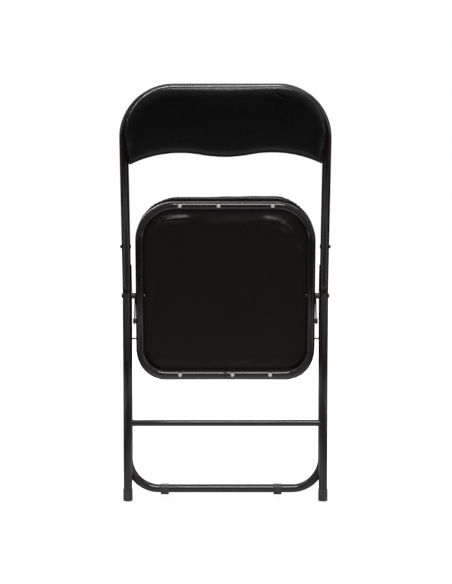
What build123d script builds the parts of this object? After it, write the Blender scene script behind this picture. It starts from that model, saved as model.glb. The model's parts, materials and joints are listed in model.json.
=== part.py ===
"""Padded steel folding chair, modelled folded and standing upright on its front feet.

Frame: +X to the chair's right seen from the front, -Y to the front, +Z up, origin on the floor in the
middle of the folded depth.  Lengths are millimetres.  The front frame is one bent tube whose legs are
vertical here and whose upper part, the backrest, leans forward.  The rear legs hang behind it, and the seat
is folded up between the legs with its front edge at the top and its upholstered face to the back.
"""
import os
from math import asin, atan2, cos, degrees, hypot, radians, sin, tan

from build123d import *

# ---------------------------------------------------------------- driving dimensions
# Leg tube, shared by the front and the rear frame
tube_diameter = 19.0
tube_wall = 1.2

# Front frame: legs, forward bend and backrest hoop
leg_spacing = 431.0
leg_plane_y = 30.7
leg_bend_height = 470.0
leg_bend_radius = 110.0
backrest_lean = 11.4
hoop_length = 434.0
hoop_corner_radius = 106.0

# Front feet
foot_height = 26.0
foot_wall = 0.9
foot_floor = 4.0
foot_edge_radius = 2.6

# Crossbar between the front legs
crossbar_height = 173.0
crossbar_diameter = 14.0
crossbar_wall = 1.0

# Rear frame: a U hanging behind the front legs, flattened at the top into tongues
frame_gap = 1.5
rear_bar_height = 22.9
rear_corner_radius = 68.0
rear_shoulder_reach = 58.0
swage_length = 11.0
tongue_thickness = 3.0
tongue_width = 15.0
tongue_side_clearance = 0.4
slot_end_clearance = 2.5

# Leg pivot
leg_pivot_reach = 93.8
leg_rivet_diameter = 6.0
leg_rivet_head_diameter = 8.0
leg_rivet_head_height = 3.4
leg_rivet_tail_diameter = 9.0
leg_rivet_tail_height = 1.2

# Rear glides, clipped on the rear bar
rear_glide_positions = (-135.0, 116.0)
rear_glide_length = 18.0
rear_glide_wall = 1.1
rear_glide_pad_width = 13.0
rear_glide_pad_drop = 3.2
rear_glide_edge_radius = 1.0

# Seat pivot, on the front legs below their bend
seat_pivot_drop = 16.0
seat_bolt_diameter = 6.0
seat_bolt_head_diameter = 9.4
seat_bolt_head_height = 2.4
seat_nut_diameter = 9.0
seat_nut_height = 3.4
seat_spacer_diameter = 12.5

# Seat ring
seat_fold_tilt = 4.5
ring_diameter = 18.0
ring_wall = 1.2
ring_side_gap = 9.5
ring_front_reach = 196.8
ring_rear_reach = 175.4
ring_front_corner_radius = 77.0
ring_rear_corner_radius = 57.0

# Seat cushion, stacked on the ring's upper side, with its overhang past the ring's centreline
seat_side_overhang = 9.9
seat_front_overhang = 18.6
seat_rear_overhang = 9.2
seat_front_corner_growth = 15.0
seat_rear_corner_growth = 9.0
seat_underside_thickness = 0.8
seat_board_thickness = 7.0
seat_foam_thickness = 22.0
seat_cover_thickness = 1.2
seat_edge_radius = 13.0
seat_board_inset = 7.0
seat_underside_inset = 4.0

# Seat screws, sunk in dimples of the ring
seat_screws_front_x = (-98.6, -14.8, 102.3)
seat_screws_rear_x = (-99.8, 15.6, 98.6)
screw_diameter = 4.0
screw_head_diameter = 8.6
screw_head_height = 2.4
dimple_diameter = 10.6
dimple_depth = 2.2
dimple_wall = 1.2
screw_bite = 5.0

# Link plates between the seat and the rear frame
link_seat_reach = 56.0
link_pin_drop = 2.8
link_width = 15.6
link_thickness = 2.0
link_ring_gap = 1.8
link_rivet_diameter = 4.8
link_rivet_head_diameter = 12.5
link_rivet_head_height = 2.2
link_washer_diameter = 10.0
rear_rivet_head_diameter = 9.0
rear_rivet_head_height = 2.0

# Stop studs on the seat ring
stud_reach = 96.0
stud_rise = 4.0
stud_diameter = 3.7
stud_tip_clearance = 0.9

# Backrest pad, in front of the hoop, measured in from the hoop's centreline
pad_side_inset = 4.5
pad_top_inset = 0.5
pad_toe_inset = 9.5
pad_corner_inset = 4.0
pad_flank_margin = 5.786
pad_toe_radius = 7.0
pad_arch_radius = 246.0
pad_lobe_radius = 284.0
pad_lobe_half_width = 52.0
pad_lobe_drop = 143.8
backrest_sheet_thickness = 0.8
backrest_board_thickness = 4.0
backrest_foam_thickness = 15.0
backrest_cover_thickness = 1.2
backrest_edge_radius = 5.0
backrest_board_inset = 4.0
backrest_screw_bite = 3.0

# Tabs welded inside the hoop, which the backrest is screwed to
tab_drops = (116.0, 82.0)
tab_bar_x = 80.0
tab_width = 20.0
tab_length = 24.0
tab_thickness = 2.0
tab_root = 4.4
tab_hole_margin = 8.0

# Fits
pivot_clearance = 0.05
face_clearance = 0.1
body_clearance = 0.3
seat_fit = 0.02

# Roundings, as shares of the height that they round
rivet_rounding = 0.7
nut_rounding = 0.4
screw_rounding = 0.6
# Overrun of a cut past the surface that it opens
cut_overrun = 1.0

# ---------------------------------------------------------------- worked-out places
tube_radius = tube_diameter / 2
tube_bore_radius = tube_radius - tube_wall
leg_x = leg_spacing / 2
leg_inner_x = leg_x - tube_radius
leg_outer_x = leg_x + tube_radius
frame_offset = tube_diameter + frame_gap
rear_plane_y = leg_plane_y + frame_offset
seat_pivot_height = leg_bend_height - seat_pivot_drop
link_rear_height = seat_pivot_height - link_pin_drop
ring_radius = ring_diameter / 2
ring_bore_radius = ring_radius - ring_wall
ring_outer_x = leg_inner_x - ring_side_gap
ring_x = ring_outer_x - ring_radius
ring_inner_x = ring_x - ring_radius
link_inner_x = ring_outer_x + link_ring_gap
link_outer_x = link_inner_x + link_thickness
sides = (("left", -1), ("right", 1))

# The hoop's own plane: local X across the chair, local Y up the backrest, local Z out of its front
back_plane = Plane(
    origin=(0, leg_plane_y, leg_bend_height),
    x_dir=(1, 0, 0),
    z_dir=(0, -cos(radians(backrest_lean)), -sin(radians(backrest_lean))),
)
# The seat's own plane, through the seat pivots and the ring's centreline: local Y towards the seat's
# front edge, local Z out of the seat's underside
seat_plane = Plane(
    origin=(0, leg_plane_y, seat_pivot_height),
    x_dir=(1, 0, 0),
    z_dir=(0, -cos(radians(seat_fold_tilt)), -sin(radians(seat_fold_tilt))),
)


def across(side, x, y, z):
    """Plane square to X at a place on one side, facing away from the chair's middle."""
    return Plane(origin=(side * x, y, z), x_dir=(0, side, 0), z_dir=(side, 0, 0))


def seat_place(side, x, reach, rise=0):
    """Plane square to X, a given reach in front of the seat pivots and a rise above the ring's centreline."""
    spot = seat_plane.from_local_coords((0, reach, -rise))
    return across(side, x, spot.Y, spot.Z)


def section_at(path):
    """Plane square to a path at its start."""
    return Plane(origin=path @ 0, z_dir=path % 0)


def end_edges(block, side, outward=True):
    """Edges at a block's end on one side, farthest from the chair's middle or nearest to it."""
    return block.edges().group_by(Axis.X)[-1 if (side > 0) == outward else 0]


# ---------------------------------------------------------------- front frame
hoop_top = back_plane.from_local_coords((leg_x, hoop_length, 0))
front_route = [
    (-leg_x, leg_plane_y, foot_floor),
    (-leg_x, leg_plane_y, leg_bend_height),
    (-leg_x, hoop_top.Y, hoop_top.Z),
    (leg_x, hoop_top.Y, hoop_top.Z),
    (leg_x, leg_plane_y, leg_bend_height),
    (leg_x, leg_plane_y, foot_floor),
]
front_bends = [leg_bend_radius, hoop_corner_radius, hoop_corner_radius, leg_bend_radius]

# Leg pivots, on the hoop's centreline above the bend
leg_pivot = back_plane.from_local_coords((0, leg_pivot_reach, 0))
# The tongue runs from the leg pivot down and back to the pressed end of the rear tube
tongue_root = back_plane.from_local_coords((0, rear_shoulder_reach - swage_length, -frame_offset))
tongue_run = tongue_root.Y - leg_pivot.Y
tongue_drop = leg_pivot.Z - tongue_root.Z
tongue_length = hypot(tongue_drop, tongue_run)
tongue_angle = degrees(atan2(tongue_run, tongue_drop))
# The slot ends a clearance past where the tongue's edges cross the tube's rear side
tongue_fall = leg_pivot_reach - rear_shoulder_reach + swage_length
tongue_crossing = (tube_radius * tongue_fall + tongue_width / 2 * tongue_length) / frame_offset
slot_top = leg_pivot_reach + tongue_width / 2 + slot_end_clearance
slot_bottom = leg_pivot_reach - tongue_crossing - slot_end_clearance

# Tabs and screw places of the backrest, as local X and Y of the hoop's plane
tab_front = tube_radius - seat_fit
tab_reaches = [hoop_length - drop for drop in tab_drops]
side_tab_x = leg_x - tab_root - tab_length / 2
bar_tab_y = hoop_length - tab_root - tab_length / 2
side_tabs = [(side * side_tab_x, reach) for _, side in sides for reach in tab_reaches]
bar_tabs = [(side * tab_bar_x, bar_tab_y) for _, side in sides]
screw_shift = tab_length / 2 - tab_hole_margin
backrest_screw_spots = [(x - screw_shift * (1 if x > 0 else -1), y) for x, y in side_tabs]
backrest_screw_spots += [(x, y - screw_shift) for x, y in bar_tabs]

with BuildPart() as front_frame_tube:
    with BuildLine() as front_path:
        FilletPolyline(*front_route, radius=front_bends)
    with BuildSketch(section_at(front_path.line)):
        Circle(tube_radius)
        Circle(tube_bore_radius, mode=Mode.SUBTRACT)
    sweep(path=front_path.line)
    for name, side in sides:
        with BuildSketch(across(side, leg_inner_x - cut_overrun, leg_pivot.Y, leg_pivot.Z)):
            Circle(leg_rivet_diameter / 2 + seat_fit)
        extrude(amount=tube_diameter + 2 * cut_overrun, mode=Mode.SUBTRACT)
        with BuildSketch(across(side, leg_inner_x - cut_overrun, leg_plane_y, seat_pivot_height)):
            Circle(seat_bolt_diameter / 2 + seat_fit)
        extrude(amount=tube_diameter + 2 * cut_overrun, mode=Mode.SUBTRACT)
        # Slot in the rear wall, for the rear frame's tongue
        with BuildSketch(back_plane):
            with Locations((side * leg_x, (slot_top + slot_bottom) / 2)):
                Rectangle(tongue_thickness + 2 * tongue_side_clearance, slot_top - slot_bottom)
        extrude(amount=-tube_radius - cut_overrun, mode=Mode.SUBTRACT)
    # Welded tabs for the backrest screws
    with BuildSketch(back_plane.offset(tab_front - tab_thickness)):
        with Locations(*side_tabs):
            Rectangle(tab_length, tab_width)
        with Locations(*bar_tabs):
            Rectangle(tab_width, tab_length)
        with Locations(*backrest_screw_spots):
            Circle(screw_diameter / 2 + seat_fit, mode=Mode.SUBTRACT)
    extrude(amount=tab_thickness)
front_frame_tube.part.label = "front_frame_tube"

with BuildPart() as front_crossbar:
    with BuildSketch(across(1, -leg_x, leg_plane_y, crossbar_height)):
        Circle(crossbar_diameter / 2)
        Circle(crossbar_diameter / 2 - crossbar_wall, mode=Mode.SUBTRACT)
    extrude(amount=leg_spacing)
    # Ends coped to the legs
    for name, side in sides:
        with BuildSketch(Plane.XY.offset(crossbar_height - crossbar_diameter)):
            with Locations((side * leg_x, leg_plane_y)):
                Circle(tube_radius)
        extrude(amount=2 * crossbar_diameter, mode=Mode.SUBTRACT)
front_crossbar.part.label = "front_crossbar"

export_list = [front_frame_tube, front_crossbar]

for name, side in sides:
    with BuildPart() as front_foot:
        with BuildSketch(Plane.XY):
            with Locations((side * leg_x, leg_plane_y)):
                Circle(tube_radius + foot_wall)
        extrude(amount=foot_height)
        fillet(front_foot.edges().group_by(Axis.Z)[0], foot_edge_radius)
        with BuildSketch(Plane.XY.offset(foot_floor)):
            with Locations((side * leg_x, leg_plane_y)):
                Circle(tube_radius + seat_fit)
        extrude(amount=foot_height, mode=Mode.SUBTRACT)
    front_foot.part.label = f"front_foot_{name}"
    export_list.append(front_foot)

# ---------------------------------------------------------------- leg pivots
for name, side in sides:
    with BuildPart() as leg_pivot_rivet:
        with BuildSketch(across(side, leg_inner_x, leg_pivot.Y, leg_pivot.Z)):
            Circle(leg_rivet_diameter / 2)
        extrude(amount=tube_diameter)
        with BuildSketch(across(side, leg_outer_x, leg_pivot.Y, leg_pivot.Z)):
            Circle(leg_rivet_head_diameter / 2)
        extrude(amount=leg_rivet_head_height)
        fillet(end_edges(leg_pivot_rivet, side), rivet_rounding * leg_rivet_head_height)
        with BuildSketch(across(side, leg_inner_x, leg_pivot.Y, leg_pivot.Z)):
            Circle(leg_rivet_tail_diameter / 2)
        extrude(amount=-leg_rivet_tail_height)
        fillet(end_edges(leg_pivot_rivet, side, outward=False), rivet_rounding * leg_rivet_tail_height)
    leg_pivot_rivet.part.label = f"leg_pivot_rivet_{name}"
    export_list.append(leg_pivot_rivet)

# ---------------------------------------------------------------- seat pivots
for name, side in sides:
    nut_face_x = ring_inner_x - body_clearance
    with BuildPart() as seat_pivot_bolt:
        with BuildSketch(across(side, nut_face_x - seat_nut_height, leg_plane_y, seat_pivot_height)):
            Circle(seat_bolt_diameter / 2)
        extrude(amount=leg_outer_x - nut_face_x + seat_nut_height)
        with BuildSketch(across(side, leg_outer_x, leg_plane_y, seat_pivot_height)):
            Circle(seat_bolt_head_diameter / 2)
        extrude(amount=seat_bolt_head_height)
        fillet(end_edges(seat_pivot_bolt, side), rivet_rounding * seat_bolt_head_height)
    seat_pivot_bolt.part.label = f"seat_pivot_bolt_{name}"

    with BuildPart() as seat_pivot_nut:
        with BuildSketch(across(side, nut_face_x, leg_plane_y, seat_pivot_height)):
            Circle(seat_nut_diameter / 2)
        extrude(amount=-seat_nut_height)
        fillet(end_edges(seat_pivot_nut, side, outward=False), nut_rounding * seat_nut_height)
        with BuildSketch(across(side, nut_face_x, leg_plane_y, seat_pivot_height)):
            Circle(seat_bolt_diameter / 2 + seat_fit)
        extrude(amount=-seat_nut_height, mode=Mode.SUBTRACT)
    seat_pivot_nut.part.label = f"seat_pivot_nut_{name}"

    with BuildPart() as seat_pivot_spacer:
        with BuildSketch(across(side, ring_outer_x + body_clearance, leg_plane_y, seat_pivot_height)):
            Circle(seat_spacer_diameter / 2)
            Circle(seat_bolt_diameter / 2 + seat_fit, mode=Mode.SUBTRACT)
        extrude(amount=leg_inner_x - ring_outer_x - body_clearance)
    seat_pivot_spacer.part.label = f"seat_pivot_spacer_{name}"
    export_list += [seat_pivot_bolt, seat_pivot_nut, seat_pivot_spacer]

# ---------------------------------------------------------------- backrest pad
# The pad's lower edge is a shallow lobe in the middle between two arches, drawn as tangent arcs
pad_half_width = leg_x - pad_side_inset
pad_toe_half_width = leg_x - pad_toe_inset
pad_corner_radius = hoop_corner_radius - pad_corner_inset
pad_top_height = hoop_length - pad_top_inset
pad_lobe_height = hoop_length - pad_lobe_drop
lobe_angle = asin(pad_lobe_half_width / pad_lobe_radius)
lobe_end = (pad_lobe_half_width, pad_lobe_height + pad_lobe_radius * (1 - cos(lobe_angle)))
arch_centre = (
    lobe_end[0] + pad_arch_radius * sin(lobe_angle),
    lobe_end[1] - pad_arch_radius * cos(lobe_angle),
)


def arch_point(x):
    """Point of the arch at a distance x from the chair's middle."""
    return (x, arch_centre[1] + (pad_arch_radius ** 2 - (x - arch_centre[0]) ** 2) ** 0.5)


def mirrored(point):
    """The same point on the chair's left."""
    return (-point[0], point[1])


arch_middle = arch_point((pad_lobe_half_width + pad_toe_half_width) / 2)
toe = arch_point(pad_toe_half_width)
flank = (pad_half_width, pad_top_height - pad_corner_radius - pad_flank_margin)
top_corner = (pad_half_width, pad_top_height)


def pad_block(inset, low, high, edge_radius):
    """Pad outline moved in by an inset, from one distance in front of the hoop's centreline to another."""
    with BuildPart() as block:
        with BuildSketch(back_plane.offset(low)) as outline:
            with BuildLine():
                ThreePointArc(mirrored(lobe_end), (0, pad_lobe_height), lobe_end)
                ThreePointArc(lobe_end, arch_middle, toe)
                Polyline(toe, flank, top_corner, mirrored(top_corner), mirrored(flank), mirrored(toe))
                ThreePointArc(mirrored(toe), mirrored(arch_middle), mirrored(lobe_end))
            make_face()
            fillet(outline.vertices().group_by(Axis.Y)[-1], pad_corner_radius)
            fillet(outline.vertices().group_by(Axis.Y)[0], pad_toe_radius)
            if inset > 0:
                offset(amount=-inset, mode=Mode.REPLACE)
        extrude(amount=high - low)
        if edge_radius > 0:
            front_face = block.faces().sort_by(Axis(back_plane.origin, back_plane.z_dir))[-1]
            fillet(front_face.edges(), edge_radius)
    return block.part


sheet_back = tube_radius + face_clearance
board_back = sheet_back + backrest_sheet_thickness + seat_fit
board_front = board_back + backrest_board_thickness
foam_back = board_front + seat_fit
foam_front = foam_back + backrest_foam_thickness
cover_front = foam_front + seat_fit + backrest_cover_thickness
foam_edge_radius = backrest_edge_radius - backrest_cover_thickness

with BuildPart() as backrest_rear_sheet:
    add(pad_block(backrest_board_inset, sheet_back, sheet_back + backrest_sheet_thickness, 0))
    with BuildSketch(back_plane.offset(sheet_back)):
        with Locations(*backrest_screw_spots):
            Circle(screw_diameter / 2 + seat_fit)
    extrude(amount=backrest_sheet_thickness, mode=Mode.SUBTRACT)
backrest_rear_sheet.part.label = "backrest_rear_sheet"

with BuildPart() as backrest_board:
    add(pad_block(backrest_board_inset, board_back, board_front, 0))
    with BuildSketch(back_plane.offset(board_back)):
        with Locations(*backrest_screw_spots):
            Circle(screw_diameter / 2 + seat_fit)
    extrude(amount=backrest_screw_bite, mode=Mode.SUBTRACT)
backrest_board.part.label = "backrest_board"

with BuildPart() as backrest_foam:
    add(pad_block(backrest_cover_thickness + seat_fit, foam_back, foam_front, foam_edge_radius))
backrest_foam.part.label = "backrest_foam"

with BuildPart() as backrest_cover:
    add(pad_block(0, sheet_back, cover_front, backrest_edge_radius))
    hollow = pad_block(backrest_cover_thickness, sheet_back, foam_front + seat_fit, foam_edge_radius)
    add(hollow, mode=Mode.SUBTRACT)
backrest_cover.part.label = "backrest_cover"

tab_back = tab_front - tab_thickness
with BuildPart() as backrest_screws:
    with BuildSketch(back_plane.offset(tab_back)):
        with Locations(*backrest_screw_spots):
            Circle(screw_diameter / 2)
    extrude(amount=board_back + backrest_screw_bite - tab_back)
    with BuildSketch(back_plane.offset(tab_back)):
        with Locations(*backrest_screw_spots):
            Circle(screw_head_diameter / 2)
    extrude(amount=-screw_head_height)
    head_faces = backrest_screws.faces().group_by(Axis(back_plane.origin, back_plane.z_dir))[0]
    fillet(head_faces.edges(), screw_rounding * screw_head_height)
backrest_screws.part.label = "backrest_screws"
export_list += [backrest_rear_sheet, backrest_board, backrest_foam, backrest_cover, backrest_screws]

# ---------------------------------------------------------------- rear frame
rear_bend_height = leg_bend_height + frame_offset * tan(radians(backrest_lean / 2))
rear_bend_radius = leg_bend_radius + frame_offset
rear_route = [
    (-leg_x, tongue_root.Y, tongue_root.Z),
    (-leg_x, rear_plane_y, rear_bend_height),
    (-leg_x, rear_plane_y, rear_bar_height),
    (leg_x, rear_plane_y, rear_bar_height),
    (leg_x, rear_plane_y, rear_bend_height),
    (leg_x, tongue_root.Y, tongue_root.Z),
]
rear_bends = [rear_bend_radius, rear_corner_radius, rear_corner_radius, rear_bend_radius]

with BuildPart() as rear_frame_tube:
    with BuildLine() as rear_path:
        FilletPolyline(*rear_route, radius=rear_bends)
    with BuildSketch(section_at(rear_path.line)):
        Circle(tube_radius)
        Circle(tube_bore_radius, mode=Mode.SUBTRACT)
    sweep(path=rear_path.line)
    for name, side in sides:
        # The round tube is pressed flat over the swage ...
        swage_start = (side * leg_x, tongue_root.Y, tongue_root.Z)
        swage_end = back_plane.from_local_coords((side * leg_x, rear_shoulder_reach, -frame_offset))
        with BuildSketch(Plane(origin=swage_start, x_dir=(1, 0, 0), z_dir=back_plane.y_dir)):
            Circle(tube_radius)
        with BuildSketch(Plane(origin=swage_end, x_dir=(1, 0, 0), z_dir=back_plane.y_dir)):
            RectangleRounded(tongue_thickness, tongue_width, tongue_thickness / 2 - seat_fit)
        loft()
        # ... and the flat tongue leans forward to the leg pivot
        with BuildSketch(across(side, leg_x - tongue_thickness / 2, leg_pivot.Y, leg_pivot.Z)):
            with Locations(Location((side * tongue_run / 2, -tongue_drop / 2), side * tongue_angle - 90)):
                SlotCenterToCenter(tongue_length, tongue_width)
        extrude(amount=tongue_thickness)
        with BuildSketch(across(side, leg_inner_x, leg_pivot.Y, leg_pivot.Z)):
            Circle(leg_rivet_diameter / 2 + pivot_clearance)
        extrude(amount=tube_diameter, mode=Mode.SUBTRACT)
        with BuildSketch(across(side, leg_inner_x, rear_plane_y, link_rear_height)):
            Circle(link_rivet_diameter / 2 + seat_fit)
        extrude(amount=tube_diameter, mode=Mode.SUBTRACT)
rear_frame_tube.part.label = "rear_frame_tube"
export_list.append(rear_frame_tube)

for position, (name, side) in zip(rear_glide_positions, sides):
    with BuildPart() as rear_glide:
        with BuildSketch(Plane.YZ.offset(position - rear_glide_length / 2)):
            with Locations((rear_plane_y, rear_bar_height)):
                Circle(tube_radius + rear_glide_wall)
            with Locations((rear_plane_y, rear_bar_height - tube_radius / 2 - rear_glide_pad_drop / 2)):
                Rectangle(rear_glide_pad_width, tube_radius + rear_glide_pad_drop)
        extrude(amount=rear_glide_length)
        fillet(rear_glide.edges().group_by(Axis.X)[0], rear_glide_edge_radius)
        fillet(rear_glide.edges().group_by(Axis.X)[-1], rear_glide_edge_radius)
        with BuildSketch(Plane.YZ.offset(position - rear_glide_length / 2)):
            with Locations((rear_plane_y, rear_bar_height)):
                Circle(tube_radius + seat_fit)
        extrude(amount=rear_glide_length, mode=Mode.SUBTRACT)
    rear_glide.part.label = f"rear_glide_{name}"
    export_list.append(rear_glide)

for name, side in sides:
    with BuildPart() as rear_link_rivet:
        with BuildSketch(across(side, leg_inner_x, rear_plane_y, link_rear_height)):
            Circle(link_rivet_diameter / 2)
        extrude(amount=tube_diameter)
        with BuildSketch(across(side, leg_outer_x, rear_plane_y, link_rear_height)):
            Circle(rear_rivet_head_diameter / 2)
        extrude(amount=rear_rivet_head_height)
        fillet(end_edges(rear_link_rivet, side), rivet_rounding * rear_rivet_head_height)
    rear_link_rivet.part.label = f"rear_link_rivet_{name}"
    export_list.append(rear_link_rivet)

# ---------------------------------------------------------------- seat ring
ring_length = ring_front_reach + ring_rear_reach
ring_middle = (ring_front_reach - ring_rear_reach) / 2
seat_screw_spots = [(x, ring_front_reach) for x in seat_screws_front_x]
seat_screw_spots += [(x, -ring_rear_reach) for x in seat_screws_rear_x]
dimple_floor = ring_radius - dimple_depth

with BuildSketch(seat_plane) as ring_outline:
    with Locations((0, ring_middle)):
        Rectangle(2 * ring_x, ring_length)
    fillet(ring_outline.vertices().group_by(Axis.Y)[-1], ring_front_corner_radius)
    fillet(ring_outline.vertices().group_by(Axis.Y)[0], ring_rear_corner_radius)
ring_path = ring_outline.sketch.face().outer_wire()

# The ring's hollow stops at a cup of metal under each dimple
with BuildPart() as ring_hollow:
    with BuildSketch(section_at(ring_path)):
        Circle(ring_bore_radius)
    sweep(path=ring_path)
    with BuildSketch(seat_plane.offset(dimple_floor - dimple_wall)):
        with Locations(*seat_screw_spots):
            Circle(dimple_diameter / 2 + dimple_wall)
    extrude(amount=ring_radius, mode=Mode.SUBTRACT)

with BuildPart() as seat_ring:
    with BuildSketch(section_at(ring_path)):
        Circle(ring_radius)
    sweep(path=ring_path)
    add(ring_hollow.part, mode=Mode.SUBTRACT)
    with BuildSketch(seat_plane.offset(dimple_floor)):
        with Locations(*seat_screw_spots):
            Circle(dimple_diameter / 2)
    extrude(amount=ring_radius, mode=Mode.SUBTRACT)
    with BuildSketch(seat_plane.offset(-ring_radius - cut_overrun)):
        with Locations(*seat_screw_spots):
            Circle(screw_diameter / 2 + seat_fit)
    extrude(amount=ring_diameter + cut_overrun, mode=Mode.SUBTRACT)
    for name, side in sides:
        with BuildSketch(across(side, ring_inner_x - cut_overrun, leg_plane_y, seat_pivot_height)):
            Circle(seat_bolt_diameter / 2 + pivot_clearance)
        extrude(amount=ring_diameter + 2 * cut_overrun, mode=Mode.SUBTRACT)
        with BuildSketch(seat_place(side, ring_x, -link_seat_reach)):
            Circle(link_rivet_diameter / 2 + seat_fit)
        extrude(amount=ring_diameter, mode=Mode.SUBTRACT)
        with BuildSketch(seat_place(side, ring_x, -stud_reach, stud_rise)):
            Circle(stud_diameter / 2 + seat_fit)
        extrude(amount=ring_diameter, mode=Mode.SUBTRACT)
seat_ring.part.label = "seat_ring"


# ---------------------------------------------------------------- seat cushion
seat_half_width = ring_x + seat_side_overhang
seat_front_reach = ring_front_reach + seat_front_overhang
seat_rear_reach = ring_rear_reach + seat_rear_overhang
seat_front_corner_radius = ring_front_corner_radius + seat_front_corner_growth
seat_rear_corner_radius = ring_rear_corner_radius + seat_rear_corner_growth


def seat_block(inset, low, high, edge_radius):
    """Seat outline moved in by an inset, from one distance above the ring's centreline to another."""
    with BuildPart() as block:
        with BuildSketch(seat_plane.offset(-low)) as outline:
            with Locations((0, (seat_front_reach - seat_rear_reach) / 2)):
                Rectangle(2 * seat_half_width, seat_front_reach + seat_rear_reach)
            fillet(outline.vertices().group_by(Axis.Y)[-1], seat_front_corner_radius)
            fillet(outline.vertices().group_by(Axis.Y)[0], seat_rear_corner_radius)
            if inset > 0:
                offset(amount=-inset, mode=Mode.REPLACE)
        extrude(amount=low - high)
        if edge_radius > 0:
            upper_face = block.faces().sort_by(Axis(seat_plane.origin, seat_plane.z_dir))[0]
            fillet(upper_face.edges(), edge_radius)
    return block.part


underside_low = ring_radius + seat_fit
seat_board_low = underside_low + seat_underside_thickness + seat_fit
seat_board_high = seat_board_low + seat_board_thickness
seat_foam_low = seat_board_high + seat_fit
seat_foam_high = seat_foam_low + seat_foam_thickness
seat_cover_high = seat_foam_high + seat_fit + seat_cover_thickness
seat_foam_edge_radius = seat_edge_radius - seat_cover_thickness
# Far end of the seat screws, above the ring's centreline
seat_screw_end = seat_board_low + screw_bite

with BuildPart() as seat_underside:
    add(seat_block(seat_underside_inset, underside_low, underside_low + seat_underside_thickness, 0))
    with BuildSketch(seat_plane.offset(-underside_low)):
        with Locations(*seat_screw_spots):
            Circle(screw_diameter / 2 + seat_fit)
    extrude(amount=-seat_underside_thickness, mode=Mode.SUBTRACT)
seat_underside.part.label = "seat_underside"

with BuildPart() as seat_board:
    add(seat_block(seat_board_inset, seat_board_low, seat_board_high, 0))
    with BuildSketch(seat_plane.offset(-seat_board_low)):
        with Locations(*seat_screw_spots):
            Circle(screw_diameter / 2 + seat_fit)
    extrude(amount=-screw_bite, mode=Mode.SUBTRACT)
seat_board.part.label = "seat_board"

with BuildPart() as seat_foam:
    add(seat_block(seat_cover_thickness + seat_fit, seat_foam_low, seat_foam_high, seat_foam_edge_radius))
seat_foam.part.label = "seat_foam"

with BuildPart() as seat_cover:
    add(seat_block(0, underside_low, seat_cover_high, seat_edge_radius))
    hollow = seat_block(seat_cover_thickness, underside_low, seat_foam_high + seat_fit, seat_foam_edge_radius)
    add(hollow, mode=Mode.SUBTRACT)
seat_cover.part.label = "seat_cover"

with BuildPart() as seat_screws:
    with BuildSketch(seat_plane.offset(dimple_floor)):
        with Locations(*seat_screw_spots):
            Circle(screw_diameter / 2)
    extrude(amount=-dimple_floor - seat_screw_end)
    with BuildSketch(seat_plane.offset(dimple_floor)):
        with Locations(*seat_screw_spots):
            Circle(screw_head_diameter / 2)
    extrude(amount=screw_head_height)
    head_faces = seat_screws.faces().group_by(Axis(seat_plane.origin, seat_plane.z_dir))[-1]
    fillet(head_faces.edges(), screw_rounding * screw_head_height)
seat_screws.part.label = "seat_screws"
export_list += [seat_ring, seat_underside, seat_board, seat_foam, seat_cover, seat_screws]

# ---------------------------------------------------------------- link plates, rivets and stop studs
link_seat_spot = seat_plane.from_local_coords((0, -link_seat_reach, 0))
link_run = rear_plane_y - link_seat_spot.Y
link_rise = link_rear_height - link_seat_spot.Z
link_length = hypot(link_run, link_rise)
link_angle = degrees(atan2(link_run, link_rise))

for name, side in sides:
    with BuildPart() as link_plate:
        with BuildSketch(across(side, link_inner_x, link_seat_spot.Y, link_seat_spot.Z)):
            with Locations(Location((side * link_run / 2, link_rise / 2), 90 - side * link_angle)):
                SlotCenterToCenter(link_length, link_width)
            with Locations((0, 0)):
                Circle(link_rivet_diameter / 2 + pivot_clearance, mode=Mode.SUBTRACT)
            with Locations((side * link_run, link_rise)):
                Circle(link_rivet_diameter / 2 + seat_fit, mode=Mode.SUBTRACT)
        extrude(amount=link_thickness)
    link_plate.part.label = f"link_plate_{name}"

    # Boss at the link's rear end, which turns against the rear frame's rivet
    with BuildPart() as link_boss:
        with BuildSketch(across(side, link_inner_x, rear_plane_y, link_rear_height)):
            Circle(link_rivet_diameter / 2)
        extrude(amount=link_thickness)
        with BuildSketch(across(side, link_outer_x, rear_plane_y, link_rear_height)):
            Circle(link_washer_diameter / 2)
        extrude(amount=leg_inner_x - link_outer_x - body_clearance)
    link_boss.part.label = f"link_boss_{name}"

    with BuildPart() as seat_link_rivet:
        with BuildSketch(seat_place(side, ring_x, -link_seat_reach)):
            Circle(link_rivet_diameter / 2)
        extrude(amount=link_outer_x - ring_x + face_clearance)
        with BuildSketch(seat_place(side, ring_outer_x, -link_seat_reach)):
            Circle(link_washer_diameter / 2)
        extrude(amount=link_ring_gap - face_clearance)
        with BuildSketch(seat_place(side, link_outer_x + face_clearance, -link_seat_reach)):
            Circle(link_rivet_head_diameter / 2)
        extrude(amount=link_rivet_head_height)
        fillet(end_edges(seat_link_rivet, side), rivet_rounding * link_rivet_head_height)
    seat_link_rivet.part.label = f"seat_link_rivet_{name}"

    with BuildPart() as stop_stud:
        with BuildSketch(seat_place(side, ring_x, -stud_reach, stud_rise)):
            Circle(stud_diameter / 2)
        extrude(amount=leg_inner_x - ring_x - stud_tip_clearance)
    stop_stud.part.label = f"stop_stud_{name}"
    export_list += [link_plate, link_boss, seat_link_rivet, stop_stud]

# ---------------------------------------------------------------- files
os.makedirs("parts", exist_ok=True)
for piece in export_list:
    export_step(piece.part, f"parts/{piece.part.label}.step")
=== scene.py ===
"""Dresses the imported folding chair: upholstery, small metal details, finishes and a plain studio.

The metal frame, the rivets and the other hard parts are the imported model's own solids with richer finishes.
The cushions and the sheet are new pieces, worked out as numpy surfaces and, for the cushions, filled as cloth
under pressure.  Lengths are metres.
"""
from __future__ import annotations

import json
import logging
import math
from abc import ABC, abstractmethod
from collections.abc import Callable
from dataclasses import dataclass
from enum import Enum

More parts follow.
